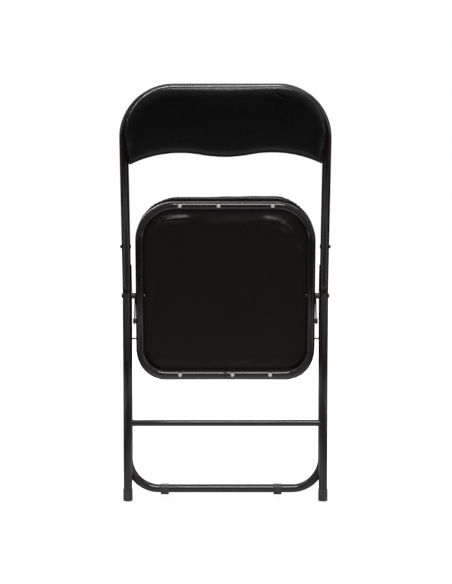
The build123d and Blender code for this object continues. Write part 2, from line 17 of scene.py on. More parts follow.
import bmesh
import bpy
import numpy as np
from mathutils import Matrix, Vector


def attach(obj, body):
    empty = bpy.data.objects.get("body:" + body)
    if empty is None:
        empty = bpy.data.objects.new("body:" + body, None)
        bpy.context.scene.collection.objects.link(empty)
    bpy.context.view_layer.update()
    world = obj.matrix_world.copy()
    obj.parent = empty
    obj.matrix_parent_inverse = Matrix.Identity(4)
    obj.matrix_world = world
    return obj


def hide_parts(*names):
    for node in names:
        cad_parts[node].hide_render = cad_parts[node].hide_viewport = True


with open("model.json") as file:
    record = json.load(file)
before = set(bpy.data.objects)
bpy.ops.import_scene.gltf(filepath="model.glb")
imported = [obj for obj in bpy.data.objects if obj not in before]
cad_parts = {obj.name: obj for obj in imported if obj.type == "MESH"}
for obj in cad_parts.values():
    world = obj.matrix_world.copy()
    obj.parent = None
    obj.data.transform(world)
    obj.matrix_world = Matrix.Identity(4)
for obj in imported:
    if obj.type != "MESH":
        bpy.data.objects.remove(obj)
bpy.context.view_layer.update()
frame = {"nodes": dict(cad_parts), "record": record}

LOG = logging.getLogger("folding_chair")
MM = 0.001
Array = np.ndarray
Colour = tuple[float, float, float]
Place = tuple[float, float, float]
Pair = tuple[float, float]
Piece = bpy.types.Object
Material = bpy.types.Material
Tree = bpy.types.NodeTree
Node = bpy.types.Node
Socket = bpy.types.NodeSocket
Sockets = bpy.types.bpy_prop_collection


class Body(Enum):
    """The bodies that the new pieces ride on."""

    FRONT = "front_frame"
    SEAT = "seat"


class Slot(Enum):
    """The record's material slots."""

    PAINT = "frame_paint"
    RUBBER = "foot_rubber"
    GLIDE = "glide_plastic"
    VINYL = "vinyl"
    BOARD = "board"
    FOAM = "foam"
    ZINC = "zinc"
    STEEL = "black_steel"


# ---------------------------------------------------------------- planes and meshes
@dataclass(frozen=True)
class LeanedPlane:
    """A plane leaning forward about X, with its own across, up and out directions.

    Out points to the chair's folded front, and up runs along the plane away from the floor.
    """

    origin_y: float
    origin_z: float
    lean_deg: float

    def place(self, across: Array, up: Array, out: Array) -> Array:
        """Points in the chair's frame: the origin, plus up and out along the leaned directions.

        Args:
            across: Distances to the chair's right.
            up: Distances up the plane.
            out: Distances out of the plane's front.

        Returns:
            Points, with X, Y and Z last.
        """
        sine, cosine = math.sin(math.radians(self.lean_deg)), math.cos(math.radians(self.lean_deg))
        y = self.origin_y - up * sine - out * cosine
        z = self.origin_z + up * cosine - out * sine
        return np.stack(np.broadcast_arrays(across, y, z), axis=-1)

    def local(self, points: Array) -> Array:
        """The across, up and out distances of points: place() turned round.

        Args:
            points: Points in the chair's frame.

        Returns:
            The same points in the plane's own directions.
        """
        sine, cosine = math.sin(math.radians(self.lean_deg)), math.cos(math.radians(self.lean_deg))
        back, rise = points[..., 1] - self.origin_y, points[..., 2] - self.origin_z
        return np.stack([points[..., 0], rise * cosine - back * sine, -back * cosine - rise * sine], axis=-1)


def grid_quads(rows: int, columns: int, start: int = 0) -> Array:
    """Quads between the points of rows that close on themselves.

    Args:
        rows: Number of rows.
        columns: Points in each row.
        start: Number of the first point.

    Returns:
        Four point numbers for each quad.
    """
    row, column = np.meshgrid(np.arange(rows - 1), np.arange(columns), indexing="ij")
    here, beside = row * columns + column, row * columns + (column + 1) % columns
    return start + np.stack([here, beside, beside + columns, here + columns], axis=-1).reshape(-1, 4)


def new_piece(name: str, points: Array, faces: list[list[int]]) -> Piece:
    """A smooth object at the origin, with its faces turned outwards.

    Args:
        name: The piece's name.
        points: Its points.
        faces: Point numbers of each face.

    Returns:
        The new object.
    """
    mesh = bpy.data.meshes.new(name)
    mesh.from_pydata(points.reshape(-1, 3).tolist(), [], faces)
    shell = bmesh.new()
    shell.from_mesh(mesh)
    bmesh.ops.remove_doubles(shell, verts=shell.verts, dist=1e-6)
    bmesh.ops.recalc_face_normals(shell, faces=shell.faces)
    shell.to_mesh(mesh)
    shell.free()
    mesh.shade_smooth()
    piece = bpy.data.objects.new(name, mesh)
    bpy.context.scene.collection.objects.link(piece)
    return piece


def closed_rings(name: str, shells: list[Array], wrapped: bool = False) -> Piece:
    """One object of closed forms, each a stack of rings.

    Args:
        name: The piece's name.
        shells: For each form, an array of rings by points by XYZ.
        wrapped: Whether the last ring meets the first.  Otherwise a face closes the first and the last ring.

    Returns:
        The new object.
    """
    points, faces, start = [], [], 0
    for rings in shells:
        stack = np.concatenate([rings, rings[:1]]) if wrapped else rings
        rows, columns = stack.shape[:2]
        points.append(stack.reshape(-1, 3))
        faces += grid_quads(rows, columns, start).tolist()
        if not wrapped:
            last = start + (rows - 1) * columns
            faces += [list(range(start, start + columns)), list(range(last, last + columns))]
        start += rows * columns
    return new_piece(name, np.concatenate(points), faces)


def read_points(mesh: bpy.types.Mesh, kind: str = "co") -> Array:
    """What a mesh holds for each of its points.

    Args:
        mesh: The mesh.
        kind: co for places, or normal for outward directions.

    Returns:
        Three numbers for each point.
    """
    flat = np.empty(len(mesh.vertices) * 3, np.float32)
    mesh.vertices.foreach_get(kind, flat)
    return flat.reshape(-1, 3).astype(float)


def move_points(mesh: bpy.types.Mesh, points: Array) -> None:
    """Puts a mesh's points in new places."""
    mesh.vertices.foreach_set("co", points.astype(np.float32).ravel())
    mesh.update()


def apply_modifiers(piece: Piece) -> None:
    """Puts what the piece's modifiers make into its own mesh, and takes the modifiers off.

    Args:
        piece: The piece.
    """
    graph = bpy.context.evaluated_depsgraph_get()
    made = bpy.data.meshes.new_from_object(piece.evaluated_get(graph))
    piece.modifiers.clear()
    old, piece.data = piece.data, made
    bpy.data.meshes.remove(old)
    made.shade_smooth()


def refine(piece: Piece) -> None:
    """Subdivides the piece once and keeps the finer mesh.

    Args:
        piece: The piece.
    """
    surface = piece.modifiers.new("finer", "SUBSURF")
    surface.levels = surface.render_levels = 1
    apply_modifiers(piece)


def smooth_step(values: Array, low: float, high: float) -> Array:
    """0 under low, 1 over high, and an S curve between."""
    share = np.clip((values - low) / (high - low), 0.0, 1.0)
    return share * share * (3.0 - 2.0 * share)


def bell(values: Array, centre: float, width: float) -> Array:
    """A Gaussian bell of height 1."""
    return np.exp(-(((values - centre) / width) ** 2))


# ---------------------------------------------------------------- outlines
def arc(centre: Pair, radius: float, start_deg: float, end_deg: float) -> Array:
    """Points round a circle from one angle to another, measured from the across direction.

    Args:
        centre: The circle's centre, across and up.
        radius: The circle's radius.
        start_deg: First angle.
        end_deg: Last angle.

    Returns:
        Points, across and up.
    """
    angles = np.radians(np.linspace(start_deg, end_deg, 60))
    return np.stack([centre[0] + radius * np.cos(angles), centre[1] + radius * np.sin(angles)], axis=-1)


def even_loop(points: Array, count: int, rounding: float = 0.0) -> Array:
    """A closed loop sampled at even steps of its length, and rounded by a running mean.

    Args:
        points: Corner points of the loop.
        count: Points wanted.
        rounding: Length over which sharp corners are averaged.

    Returns:
        Points of the loop.
    """
    closed = np.concatenate([points, points[:1]])
    length = np.concatenate([[0.0], np.cumsum(np.linalg.norm(np.diff(closed, axis=0), axis=1))])
    steps = np.linspace(0.0, length[-1], count, endpoint=False)
    loop = np.stack([np.interp(steps, length, closed[:, axis]) for axis in (0, 1)], axis=-1)
    reach = int(round(rounding / (length[-1] / count)))
    if reach:
        shifts = np.arange(-reach, reach + 1)
        loop = sum(np.roll(loop, shift, axis=0) for shift in shifts) / len(shifts)
    return loop


@dataclass(frozen=True)
class SeatOutline:
    """The seat's rounded outline, in its own plane."""

    half_width: float = 197.4 * MM
    front_reach: float = 215.4 * MM
    rear_reach: float = 184.6 * MM
    front_radius: float = 92.0 * MM
    rear_radius: float = 66.0 * MM
    spine_share: float = 0.3

    def loop(self, count: int, inset: float = 0.0) -> Array:
        """Straight sides and four quarter circles, moved in by an inset.

        Args:
            count: Points wanted.
            inset: Distance inside the outline.

        Returns:
            Points, across and up.
        """
        wide, front, rear = self.half_width - inset, self.front_reach - inset, self.rear_reach - inset
        big, small = self.front_radius - inset, self.rear_radius - inset
        return even_loop(np.concatenate([
            arc((wide - small, small - rear), small, -90.0, 0.0),
            arc((wide - big, front - big), big, 0.0, 90.0),
            arc((big - wide, front - big), big, 90.0, 180.0),
            arc((small - wide, small - rear), small, 180.0, 270.0),
        ]), count)

    def spine(self, loop: Array) -> Array:
        """Points of the seat's middle line: the nearest ones, drawn in towards the seat's centre.

        Args:
            loop: Points of the outline.

        Returns:
            Points of the middle line, one for each of the loop's.
        """
        middle = np.clip(loop[:, 1], self.rear_radius - self.rear_reach, self.front_reach - self.front_radius)
        return np.stack([np.zeros(len(loop)), middle * self.spine_share], axis=-1)


@dataclass(frozen=True)
class PadOutline:
    """The backrest pad's outline: round top corners, two arches and a shallow lobe along its lower edge."""

    half_width: float = 211.0 * MM
    top: float = 440.0 * MM
    corner_radius: float = 102.0 * MM
    toe_half_width: float = 206.0 * MM
    lobe_height: float = 290.2 * MM
    lobe_radius: float = 284.0 * MM
    lobe_half_width: float = 52.0 * MM
    arch_radius: float = 246.0 * MM
    rounding: float = 4.0 * MM
    spine_up: float = 368.0 * MM
    spine_sag: float = 12.0 * MM

    def loop(self, count: int) -> Array:
        """A lobe arc, an arch arc out to each toe, straight flanks, and a quarter circle at each top corner.

        Args:
            count: Points wanted.

        Returns:
            Points, across and up, starting at the middle of the lower edge.
        """
        lobe_angle = math.asin(self.lobe_half_width / self.lobe_radius)
        lobe_centre = self.lobe_height + self.lobe_radius
        arch_across = self.lobe_half_width + self.arch_radius * math.sin(lobe_angle)
        arch_up = lobe_centre - (self.lobe_radius + self.arch_radius) * math.cos(lobe_angle)
        toe_deg = math.degrees(math.acos((self.toe_half_width - arch_across) / self.arch_radius))
        lobe_deg = math.degrees(lobe_angle)
        corner = self.corner_radius
        right = np.concatenate([
            arc((0.0, lobe_centre), self.lobe_radius, -90.0, lobe_deg - 90.0),
            arc((arch_across, arch_up), self.arch_radius, 90.0 + lobe_deg, toe_deg),
            arc((self.half_width - corner, self.top - corner), corner, 0.0, 90.0),
        ])
        left = (right * np.array([-1.0, 1.0]))[::-1]
        return even_loop(np.concatenate([right, left]), count, self.rounding)

    def spine(self, loop: Array) -> Array:
        """The nearest points of the pad's middle line, which runs across the pad.

        Args:
            loop: Points of the outline.

        Returns:
            Points of the middle line, one for each of the loop's.
        """
        reach = self.half_width - 0.5 * self.corner_radius
        across = np.clip(loop[:, 0], -reach, reach)
        sag = self.spine_sag * (across / reach) ** 2
        return np.stack([across, self.spine_up - sag], axis=-1)


# ---------------------------------------------------------------- cushions
@dataclass(frozen=True)
class Rounding:
    """A quarter ellipse between a cushion's side and its top: how far in it reaches and how far it drops."""

    reach: float
    drop: float


@dataclass(frozen=True)
class CushionProfile:
    """How a cushion rises from its base to its crown, measured away from the plane that it rests on."""

    base: float
    shoulder: float
    crown: float
    base_round: float
    edge: Rounding
    low_edge: Rounding
    crown_reach: float
    low_facing: Pair = (0.55, 0.9)
    turn_rows: int = 9
    face_rows: int = 16
    face_share: float = 0.94

    def rings(self, loop: Array, spine: Array) -> tuple[Array, Array]:
        """Rows of the cushion from the middle of its base, over its edge, to the middle of its crown.

        The base is flat.  Its edge is a quarter circle, the side is straight, and the upper edge is a quarter
        ellipse, of its own size where the outline looks down.  From there the height climbs to the crown
        as one minus a bell of the distance to the edge.

        Args:
            loop: Points of the outline.
            spine: The middle line's point for each of them.

        Returns:
            The rows' points, across and up, and their heights.
        """
        turn = np.radians(np.linspace(0.0, 90.0, self.turn_rows))[:, None]
        inner = np.linspace(self.face_share, 0.0, self.face_rows)[:, None]
        away = spine - loop
        depth = np.linalg.norm(away, axis=1)
        low = smooth_step(away[:, 1] / depth, *self.low_facing)
        edge = self.edge.reach + (self.low_edge.reach - self.edge.reach) * low
        drop = self.edge.drop + (self.low_edge.drop - self.edge.drop) * low
        base_inset = np.broadcast_to(self.base_round * (1.0 - np.sin(turn)), (len(turn), len(loop)))
        edge_inset = edge * (1.0 - np.cos(turn))
        below = self.base_round + inner[:-1] * (depth - self.base_round)
        above = edge + inner[::-1][1:] * (depth - edge)
        reach = np.concatenate([below, base_inset, edge_inset, above])
        low_side = self.base + np.broadcast_to(self.base_round * (1.0 - np.cos(turn)), base_inset.shape)
        top = self.shoulder - drop * (1.0 - np.sin(turn))
        climb = (self.crown - self.shoulder) * (1.0 - np.exp(-(((above - edge) / self.crown_reach) ** 2)))
        height = np.concatenate([np.full_like(below, self.base), low_side, top, self.shoulder + climb])
        return loop[None] + away[None] * (reach / depth)[..., None], height


@dataclass(frozen=True)
class Stuffing:
    """Fills a closed form as foam fills a cover: cloth under pressure, held near its starting shape."""

    voxel: float = 5.0 * MM
    pressure: float = 4.0
    frames: int = 20
    cap: float = 6.0 * MM
    steps: int = 5
    mass: float = 0.4
    stretch: float = 25.0
    shear: float = 10.0
    bending: float = 2.0

    def fill(self, piece: Piece, plane: LeanedPlane, slack: Callable[[Array], Array],
             folds: Callable[[Array], Array]) -> None:
        """Gives the form an even skin, presses it out from inside, and lays folds on it.

        Args:
            piece: The closed form.
            plane: The plane that the form lies on.
            slack: How freely each point moves, from 0 to 1, by its place in the plane's directions.
            folds: The folds' height at each point, by its place in the plane's directions.
        """
        self.even_skin(piece)
        start = read_points(piece.data)
        free = slack(plane.local(start))[:, None]
        move_points(piece.data, start + free * self.blow(piece))
        refine(piece)
        points = read_points(piece.data)
        height = folds(plane.local(points))[:, None]
        move_points(piece.data, points + height * read_points(piece.data, "normal"))

    def even_skin(self, piece: Piece) -> None:
        """Gives the closed form a skin of even small faces.

        Args:
            piece: The form.
        """
        remesh = piece.modifiers.new("even_skin", "REMESH")
        remesh.mode, remesh.voxel_size = "VOXEL", self.voxel
        apply_modifiers(piece)

    def blow(self, piece: Piece) -> Array:
        """The movement of each point of the piece when its inside is under pressure.

        Args:
            piece: The form, with its even skin.

        Returns:
            The movements, each no longer than the cap.
        """
        before = read_points(piece.data)
        cloth = piece.modifiers.new("filling", "CLOTH")
        settings = cloth.settings
        settings.quality = self.steps
        settings.mass = self.mass
        settings.tension_stiffness = settings.compression_stiffness = self.stretch
        settings.shear_stiffness = self.shear
        settings.bending_stiffness = self.bending
        settings.use_pressure, settings.uniform_pressure_force = True, self.pressure
        settings.effector_weights.gravity = 0.0
        cloth.collision_settings.use_collision = False
        scene = bpy.context.scene
        for number in range(1, self.frames + 1):
            scene.frame_set(number)
        after = read_points(piece.evaluated_get(bpy.context.evaluated_depsgraph_get()).data)
        piece.modifiers.clear()
        scene.frame_set(1)
        moved = after - before
        size = np.linalg.norm(moved, axis=1, keepdims=True)
        LOG.info("%s: filling pressed it up to %.1f mm, held to %.1f mm",
                 piece.name, float(size.max()) / MM, self.cap / MM)
        return moved * np.minimum(1.0, self.cap / np.maximum(size, 1e-9))


@dataclass(frozen=True)
class SheetFold:
    """A fold of a sheet: a bell across its length, which widens along it and fades at both ends."""

    middle: Pair
    reach: Pair
    turn_deg: float
    size: float

    def rise(self, across: Array, up: Array) -> Array:
        """The fold's height at points of the sheet.

        Args:
            across: Distances to the right.
            up: Distances towards the front edge.

        Returns:
            Heights.
        """
        turn = math.radians(self.turn_deg)
        right, ahead = across - self.middle[0], up - self.middle[1]
        along = (right * math.cos(turn) + ahead * math.sin(turn)) / self.reach[0]
        beside = (ahead * math.cos(turn) - right * math.sin(turn)) / self.reach[1]
        widening = 0.45 + 0.55 * smooth_step(along, -1.0, 0.3)
        return self.size * bell(beside, 0.0, widening) * (1.0 - smooth_step(np.abs(along), 0.45, 1.15))


SHEET_FOLDS = (
    SheetFold((-106.0 * MM, 170.0 * MM), (35.0 * MM, 9.0 * MM), 7.0, 4.6 * MM),
    SheetFold((-138.0 * MM, 158.0 * MM), (18.0 * MM, 8.0 * MM), 38.0, 2.2 * MM),
    SheetFold((108.0 * MM, 161.0 * MM), (36.0 * MM, 14.0 * MM), 164.0, 3.4 * MM),
    SheetFold((134.0 * MM, 146.0 * MM), (17.0 * MM, 8.0 * MM), 144.0, 2.4 * MM),
    SheetFold((163.0 * MM, 96.0 * MM), (16.0 * MM, 6.0 * MM), -62.0, 1.8 * MM),
    SheetFold((76.0 * MM, -154.0 * MM), (26.0 * MM, 4.5 * MM), -3.0, 1.7 * MM),
    SheetFold((-158.0 * MM, -20.0 * MM), (70.0 * MM, 8.0 * MM), 80.0, 0.8 * MM),
    SheetFold((6.0 * MM, 158.0 * MM), (52.0 * MM, 13.0 * MM), 1.0, 1.2 * MM),
)


@dataclass(frozen=True)
class SeatUpholstery:
    """The seat's stuffed vinyl cover and the sheet that closes its underside.

    The pairs below are ranges: a smooth step climbs from the first to the second.
    """

    plane: LeanedPlane
    outline: SeatOutline = SeatOutline()
    cushion_outline: SeatOutline = SeatOutline(
        half_width=198.6 * MM, front_reach=218.8 * MM, rear_reach=192.8 * MM,
        front_radius=98.0 * MM, rear_radius=65.0 * MM,
    )
    profile: CushionProfile = CushionProfile(
        base=9.9 * MM, shoulder=31.0 * MM, crown=39.0 * MM, base_round=9.0 * MM,
        edge=Rounding(13.0 * MM, 12.0 * MM), low_edge=Rounding(13.0 * MM, 12.0 * MM), crown_reach=80.0 * MM,
    )
    stuffing: Stuffing = Stuffing()
    free_rise: Pair = (13.0 * MM, 24.0 * MM)
    side_start: Pair = (10.0 * MM, 15.0 * MM)
    side_end: Pair = (22.0 * MM, 33.0 * MM)
    corner_pleat: float = 0.4 * MM
    corner_deg: float = 48.0
    corner_spread_deg: float = 30.0
    corner_ring: Pair = (62.0 * MM, 84.0 * MM)
    edge_wrinkle: float = 0.5 * MM
    edge_lift: float = 0.8 * MM
    edge_start: float = 26.0 * MM
    edge_end: float = 6.0 * MM
    wrinkle_pitch: float = 2.3 * MM
    ring_back: float = 9.0 * MM
    sheet_gap: float = 0.05 * MM
    sheet_thickness: float = 0.8 * MM
    sheet_inset: float = 4.0 * MM
    front_rows: int = 96
    back_rows: int = 12
    opening_half_width: float = 178.0 * MM
    opening_front: float = 186.0 * MM
    opening_rear: float = 165.0 * MM
    opening_rise: Pair = (1.0 * MM, 24.0 * MM)
    pillow: float = 1.4 * MM
    drift: float = 0.35 * MM

    def cushion(self) -> Piece:
        """The cover: a crowned closed form, filled, with pleats round its front corners and wrinkled sides.

        Returns:
            The piece.
        """
        loop = self.cushion_outline.loop(260)
        flat, height = self.profile.rings(loop, self.cushion_outline.spine(loop))
        piece = closed_rings("seat_cushion", [self.plane.place(flat[..., 0], flat[..., 1], -height)])
        self.stuffing.fill(piece, self.plane, self.slack, self.folds)
        return piece

    def slack(self, local: Array) -> Array:
        """How freely each point of the cover moves: not at all by the board, and fully above the side."""
        return smooth_step(-local[:, 2], *self.free_rise)

    def folds(self, local: Array) -> Array:
        """Height of the folds at each point of the cover.

        Round each front corner a cosine of the angle about the corner's centre makes upright pleats,
        strongest halfway up the side.  Along the front edge a sine of the height, bent by slow sines along
        the edge, makes shallow wrinkles, and one slow sine along the edge lifts it.

        Args:
            local: Points in the seat's own directions.

        Returns:
            Distances along each point's outward direction.
        """
        right, up, rise = local[:, 0], local[:, 1], -local[:, 2]
        side = smooth_step(rise, *self.side_start) * (1.0 - smooth_step(rise, *self.side_end))
        shape = self.outline
        beyond = np.abs(right) - (shape.half_width - shape.front_radius)
        ahead = up - (shape.front_reach - shape.front_radius)
        angle, distance = np.arctan2(ahead, beyond), np.hypot(ahead, beyond)
        facing = bell(angle, math.radians(self.corner_deg), math.radians(self.corner_spread_deg))
        corner = facing * smooth_step(distance, *self.corner_ring)
        wave = np.cos(angle * 74.0 + 2.2 * np.sin(angle * 9.0)) + 0.5 * np.cos(angle * 41.0 + 1.0)
        pleats = self.corner_pleat * corner * side * wave
        edge = smooth_step(up, shape.front_reach - self.edge_start, shape.front_reach - self.edge_end)
        bend = 1.8 * np.sin(right / (41.0 * MM) + 0.7) + 1.1 * np.sin(right / (17.0 * MM))
        streaks = self.edge_wrinkle * edge * side * np.sin(rise / self.wrinkle_pitch + bend)
        lift = self.edge_lift * edge * side * np.sin((right - 15.0 * MM) / (62.0 * MM))
        return pleats + streaks + lift

    def underside(self) -> Piece:
        """The sheet over the board's underside: a thin closed form that swells a little inside the ring.

        Its rows run from the middle of its front to its edge, closer together there, and back to the middle
        of its back.

        Returns:
            The piece.
        """
        loop = self.outline.loop(300, self.sheet_inset)
        spine = self.outline.spine(loop)
        outward = 0.98 * np.linspace(1.0, 0.0, self.front_rows) ** 1.6
        share = np.concatenate([outward, np.linspace(0.0, 0.97, self.back_rows)])
        front = (np.arange(len(share)) < self.front_rows)[:, None]
        flat = loop[None] + share[:, None, None] * (spine - loop)[None]
        near = self.ring_back + self.sheet_gap - self.swell(flat[..., 0], flat[..., 1])
        rise = np.where(front, near, self.ring_back + self.sheet_thickness)
        return closed_rings("seat_underside_sheet", [self.plane.place(flat[..., 0], flat[..., 1], -rise)])

    def swell(self, across: Array, up: Array) -> Array:
        """How far the underside sheet stands out inside the ring: a low pillow, folds, and slow sines.

        Args:
            across: Distances to the right.
            up: Distances towards the front edge.

        Returns:
            Distances out of the ring's back plane, 0 under the ring's tube.
        """
        lengthwise = np.minimum(self.opening_front - up, up + self.opening_rear)
        inside = np.minimum(self.opening_half_width - np.abs(across), lengthwise)
        folds = sum(fold.rise(across, up) for fold in SHEET_FOLDS)
        slow = self.drift * np.sin(across / (33.0 * MM) + 1.2 * np.sin(up / (47.0 * MM)))
        return smooth_step(inside, *self.opening_rise) * (self.pillow + folds + slow)


@dataclass(frozen=True)
class BackrestUpholstery:
    """The backrest's stuffed vinyl cover."""

    plane: LeanedPlane
    outline: PadOutline = PadOutline()
    profile: CushionProfile = CushionProfile(
        base=10.5 * MM, shoulder=29.6 * MM, crown=30.2 * MM, base_round=2.0 * MM,
        edge=Rounding(27.0 * MM, 6.5 * MM), low_edge=Rounding(24.0 * MM, 14.5 * MM), crown_reach=16.0 * MM,
    )
    stuffing: Stuffing = Stuffing(voxel=3.2 * MM, cap=0.8 * MM)
    turn_deg: float = 0.35
    turn_up: float = 360.0 * MM
    free_rise: Pair = (14.0 * MM, 24.0 * MM)
    face_rise: Pair = (18.0 * MM, 26.0 * MM)
    crease_place: Pair = (112.0 * MM, 421.0 * MM)
    crease_slope: float = 0.55
    crease_depth: float = 0.5 * MM
    crease_width: float = 3.2 * MM
    crease_length: float = 9.0 * MM
    hollow_depth: float = 0.25 * MM

    def cushion(self) -> Piece:
        """The cover: a crowned closed form, set a hair askew, filled, with a small crease at its top right.

        Returns:
            The piece.
        """
        loop = self.outline.loop(300)
        flat, height = self.profile.rings(loop, self.outline.spine(loop))
        turn, up = math.radians(self.turn_deg), flat[..., 1] - self.turn_up
        across = flat[..., 0] * math.cos(turn) - up * math.sin(turn)
        up = self.turn_up + up * math.cos(turn) + flat[..., 0] * math.sin(turn)
        piece = closed_rings("backrest_cushion", [self.plane.place(across, up, height)])
        self.stuffing.fill(piece, self.plane, self.slack, self.folds)
        return piece

    def slack(self, local: Array) -> Array:
        """How freely each point of the cover moves: not at all by the board, and fully on the face."""
        return smooth_step(local[:, 2], *self.free_rise)

    def folds(self, local: Array) -> Array:
        """Height of the folds: one short crease by the top edge, and slow hollows along the pad.

        Args:
            local: Points in the backrest's own directions.

        Returns:
            Distances along each point's outward direction.
        """
        across, up, out = local[:, 0], local[:, 1], local[:, 2]
        middle, level = self.crease_place
        beside = (up - level) + self.crease_slope * (across - middle)
        line = bell(beside, 0.0, self.crease_width) * bell(across, middle, self.crease_length)
        slow = self.hollow_depth * np.sin(across / (38.0 * MM) + 0.8) * np.sin(up / (27.0 * MM))
        return smooth_step(out, *self.face_rise) * (slow - self.crease_depth * line)


# ---------------------------------------------------------------- small metal details
@dataclass(frozen=True)
class PanScrew:
    """The domed head of a screw, with a cross recess."""

    radius: float = 4.3 * MM
    height: float = 2.4 * MM
    rim_height: float = 0.9 * MM
    rim_reach: float = 0.8
    cap_height: float = 0.25 * MM
    recess_reach: float = 2.3 * MM
    recess_half_width: float = 0.55 * MM
    recess_depth: float = 1.3 * MM

    def rings(self, plane: LeanedPlane, across: float, up: float, seat: float, facing: float,
              turn: float) -> Array:
        """Rings from the head's flat base, over its rim, to the middle of its dome.

        The dome is a quarter ellipse, then a shallow cap.  The recess is the deeper of two slots at right
        angles, each a smooth step of the distance from its own middle line, that fade out at their ends.

        Args:
            plane: The plane that the screw is driven into.
            across: The head's centre, to the right.
            up: The head's centre, up the plane.
            seat: Where the head's base lies, out of the plane.
            facing: 1 for a head that points out of the plane, and -1 for one that points into it.
            turn: Angle of the recess.

        Returns:
            Rings by points by XYZ.
        """
        rise = np.radians(np.linspace(0.0, 90.0, 8))
        rim_turn = self.height - self.rim_height
        cap = np.linspace(1.0, 0.02, 22)[1:]
        edge = self.radius - rim_turn * self.rim_reach
        radii = np.concatenate([[self.radius], edge + (self.radius - edge) * np.cos(rise), edge * cap])
        turned = self.rim_height + (rim_turn - self.cap_height) * np.sin(rise)
        heights = np.concatenate([[0.0], turned, self.height - self.cap_height * cap ** 2])
        angle = np.linspace(0.0, 2.0 * math.pi, 56, endpoint=False)
        x, y = radii[:, None] * np.cos(angle), radii[:, None] * np.sin(angle)
        u, v = x * math.cos(turn) + y * math.sin(turn), y * math.cos(turn) - x * math.sin(turn)
        wide, long = self.recess_half_width, self.recess_reach
        slots = [
            (1.0 - smooth_step(np.abs(beside), 0.5 * wide, 1.5 * wide))
            * (1.0 - smooth_step(np.abs(along), 0.75 * long, long))
            for along, beside in ((u, v), (v, u))
        ]
        depth = self.recess_depth * np.maximum(*slots) * (1.0 - 0.35 * np.hypot(u, v) / long)
        out = seat + facing * (heights[:, None] - np.maximum(depth, 0.0))
        return plane.place(across + x, up + y, out)


@dataclass(frozen=True)
class ScrewSet:
    """Screw heads in one plane."""

    name: str
    plane: LeanedPlane
    places: tuple[Pair, ...]
    seat: float
    facing: float
    head: PanScrew = PanScrew()
    first_turn: float = 0.35
    turn_step: float = 2.4

    def build(self) -> Piece:
        """All the heads as one piece, each with its recess turned by a golden angle from the last.

        Returns:
            The piece.
        """
        turns = [self.first_turn + self.turn_step * number for number in range(len(self.places))]
        return closed_rings(self.name, [
            self.head.rings(self.plane, across, up, self.seat, self.facing, turn)
            for (across, up), turn in zip(self.places, turns)
        ])


@dataclass(frozen=True)
class CrossbarWelds:
    """The weld beads where the front crossbar meets the legs."""

    leg_across: float = 215.5 * MM
    leg_radius: float = 9.5 * MM
    bar_radius: float = 7.0 * MM
    bar_y: float = 30.7 * MM
    bar_z: float = 173.0 * MM
    bead: float = 1.25 * MM
    ripples: int = 22
    ripple_share: float = 0.12

    def ring(self, side: float) -> Array:
        """A bead along the line where the bar's cylinder enters the leg's, with a rippled skin.

        The line's distance from the leg's axis is the root of the leg's radius squared less the offset
        squared.

        Args:
            side: 1 for the right leg and -1 for the left.

        Returns:
            Rings by points by XYZ.
        """
        around = np.linspace(0.0, 2.0 * math.pi, 132, endpoint=False)[:, None]
        skin = np.linspace(0.0, 2.0 * math.pi, 14, endpoint=False)[None, :]
        ripple = self.bead * (1.0 + self.ripple_share * np.cos(self.ripples * around + 0.9 * np.cos(skin)))
        radius = self.bar_radius + ripple * np.cos(skin)
        cope = np.sqrt(self.leg_radius ** 2 - (self.bar_radius * np.sin(around)) ** 2)
        x = side * (self.leg_across - cope - ripple * np.sin(skin))
        y, z = self.bar_y + radius * np.sin(around), self.bar_z + radius * np.cos(around)
        return np.stack([x, y, z], axis=-1)

    def build(self) -> Piece:
        """The left and the right bead as one piece."""
        return closed_rings("crossbar_welds", [self.ring(-1.0), self.ring(1.0)], wrapped=True)


@dataclass(frozen=True)
class RingSplice:
    """The joint in the rear of the seat's ring, where the bent tube's two ends meet in a swaged lip."""

    plane: LeanedPlane
    reach: float = -175.4 * MM
    tube_radius: float = 9.0 * MM
    sunk: float = 0.1 * MM
    wander: float = 0.2 * MM
    lips: tuple[tuple[float, float, float], ...] = (
        (-2.8 * MM, 0.9 * MM, 0.5 * MM), (0.6 * MM, 2.0 * MM, 1.4 * MM),
    )

    def band(self, across: float, half_width: float, bead: float) -> Array:
        """A low band round the tube: a flattened circle carried round the tube's own circle.

        Args:
            across: The band's middle.
            half_width: Half its width along the tube.
            bead: How far it stands above the tube.

        Returns:
            Rings by points by XYZ.
        """
        around = np.linspace(0.0, 2.0 * math.pi, 96, endpoint=False)[:, None]
        skin = np.linspace(0.0, 2.0 * math.pi, 12, endpoint=False)[None, :]
        radius = self.tube_radius - self.sunk + bead * np.cos(skin) * (1.0 + 0.15 * np.sin(19.0 * around))
        place = across + half_width * np.sin(skin) + self.wander * np.sin(5.0 * around)
        return self.plane.place(place, self.reach + radius * np.cos(around), radius * np.sin(around))

    def build(self) -> Piece:
        """The lips on both sides of the joint as one piece."""
        return closed_rings("seat_ring_splice", [self.band(*lip) for lip in self.lips], wrapped=True)


# ---------------------------------------------------------------- nodes
def add_node(tree: Tree, kind: str, values: dict | None = None, **settings: object) -> Node:
    """A node with its settings and its inputs.

    Args:
        tree: The node tree.
        kind: The node's type.
        values: Numbers, colours or sockets by the input's name or number.
        settings: The node's own options.

    Returns:
        The new node.
    """
    node = tree.nodes.new(kind)
    for name, value in settings.items():
        setattr(node, name, value)
    for name, value in (values or {}).items():
        if isinstance(value, Socket):
            tree.links.new(value, node.inputs[name])
        else:
            node.inputs[name].default_value = value
    return node


def feed(node: Node, name: str, value: Socket) -> None:
    """Links a value to one of a node's inputs."""
    node.id_data.links.new(value, node.inputs[name])


def object_place(tree: Tree) -> Socket:
    """Each point's place in the chair's own frame."""
    return add_node(tree, "ShaderNodeTexCoord").outputs["Object"]


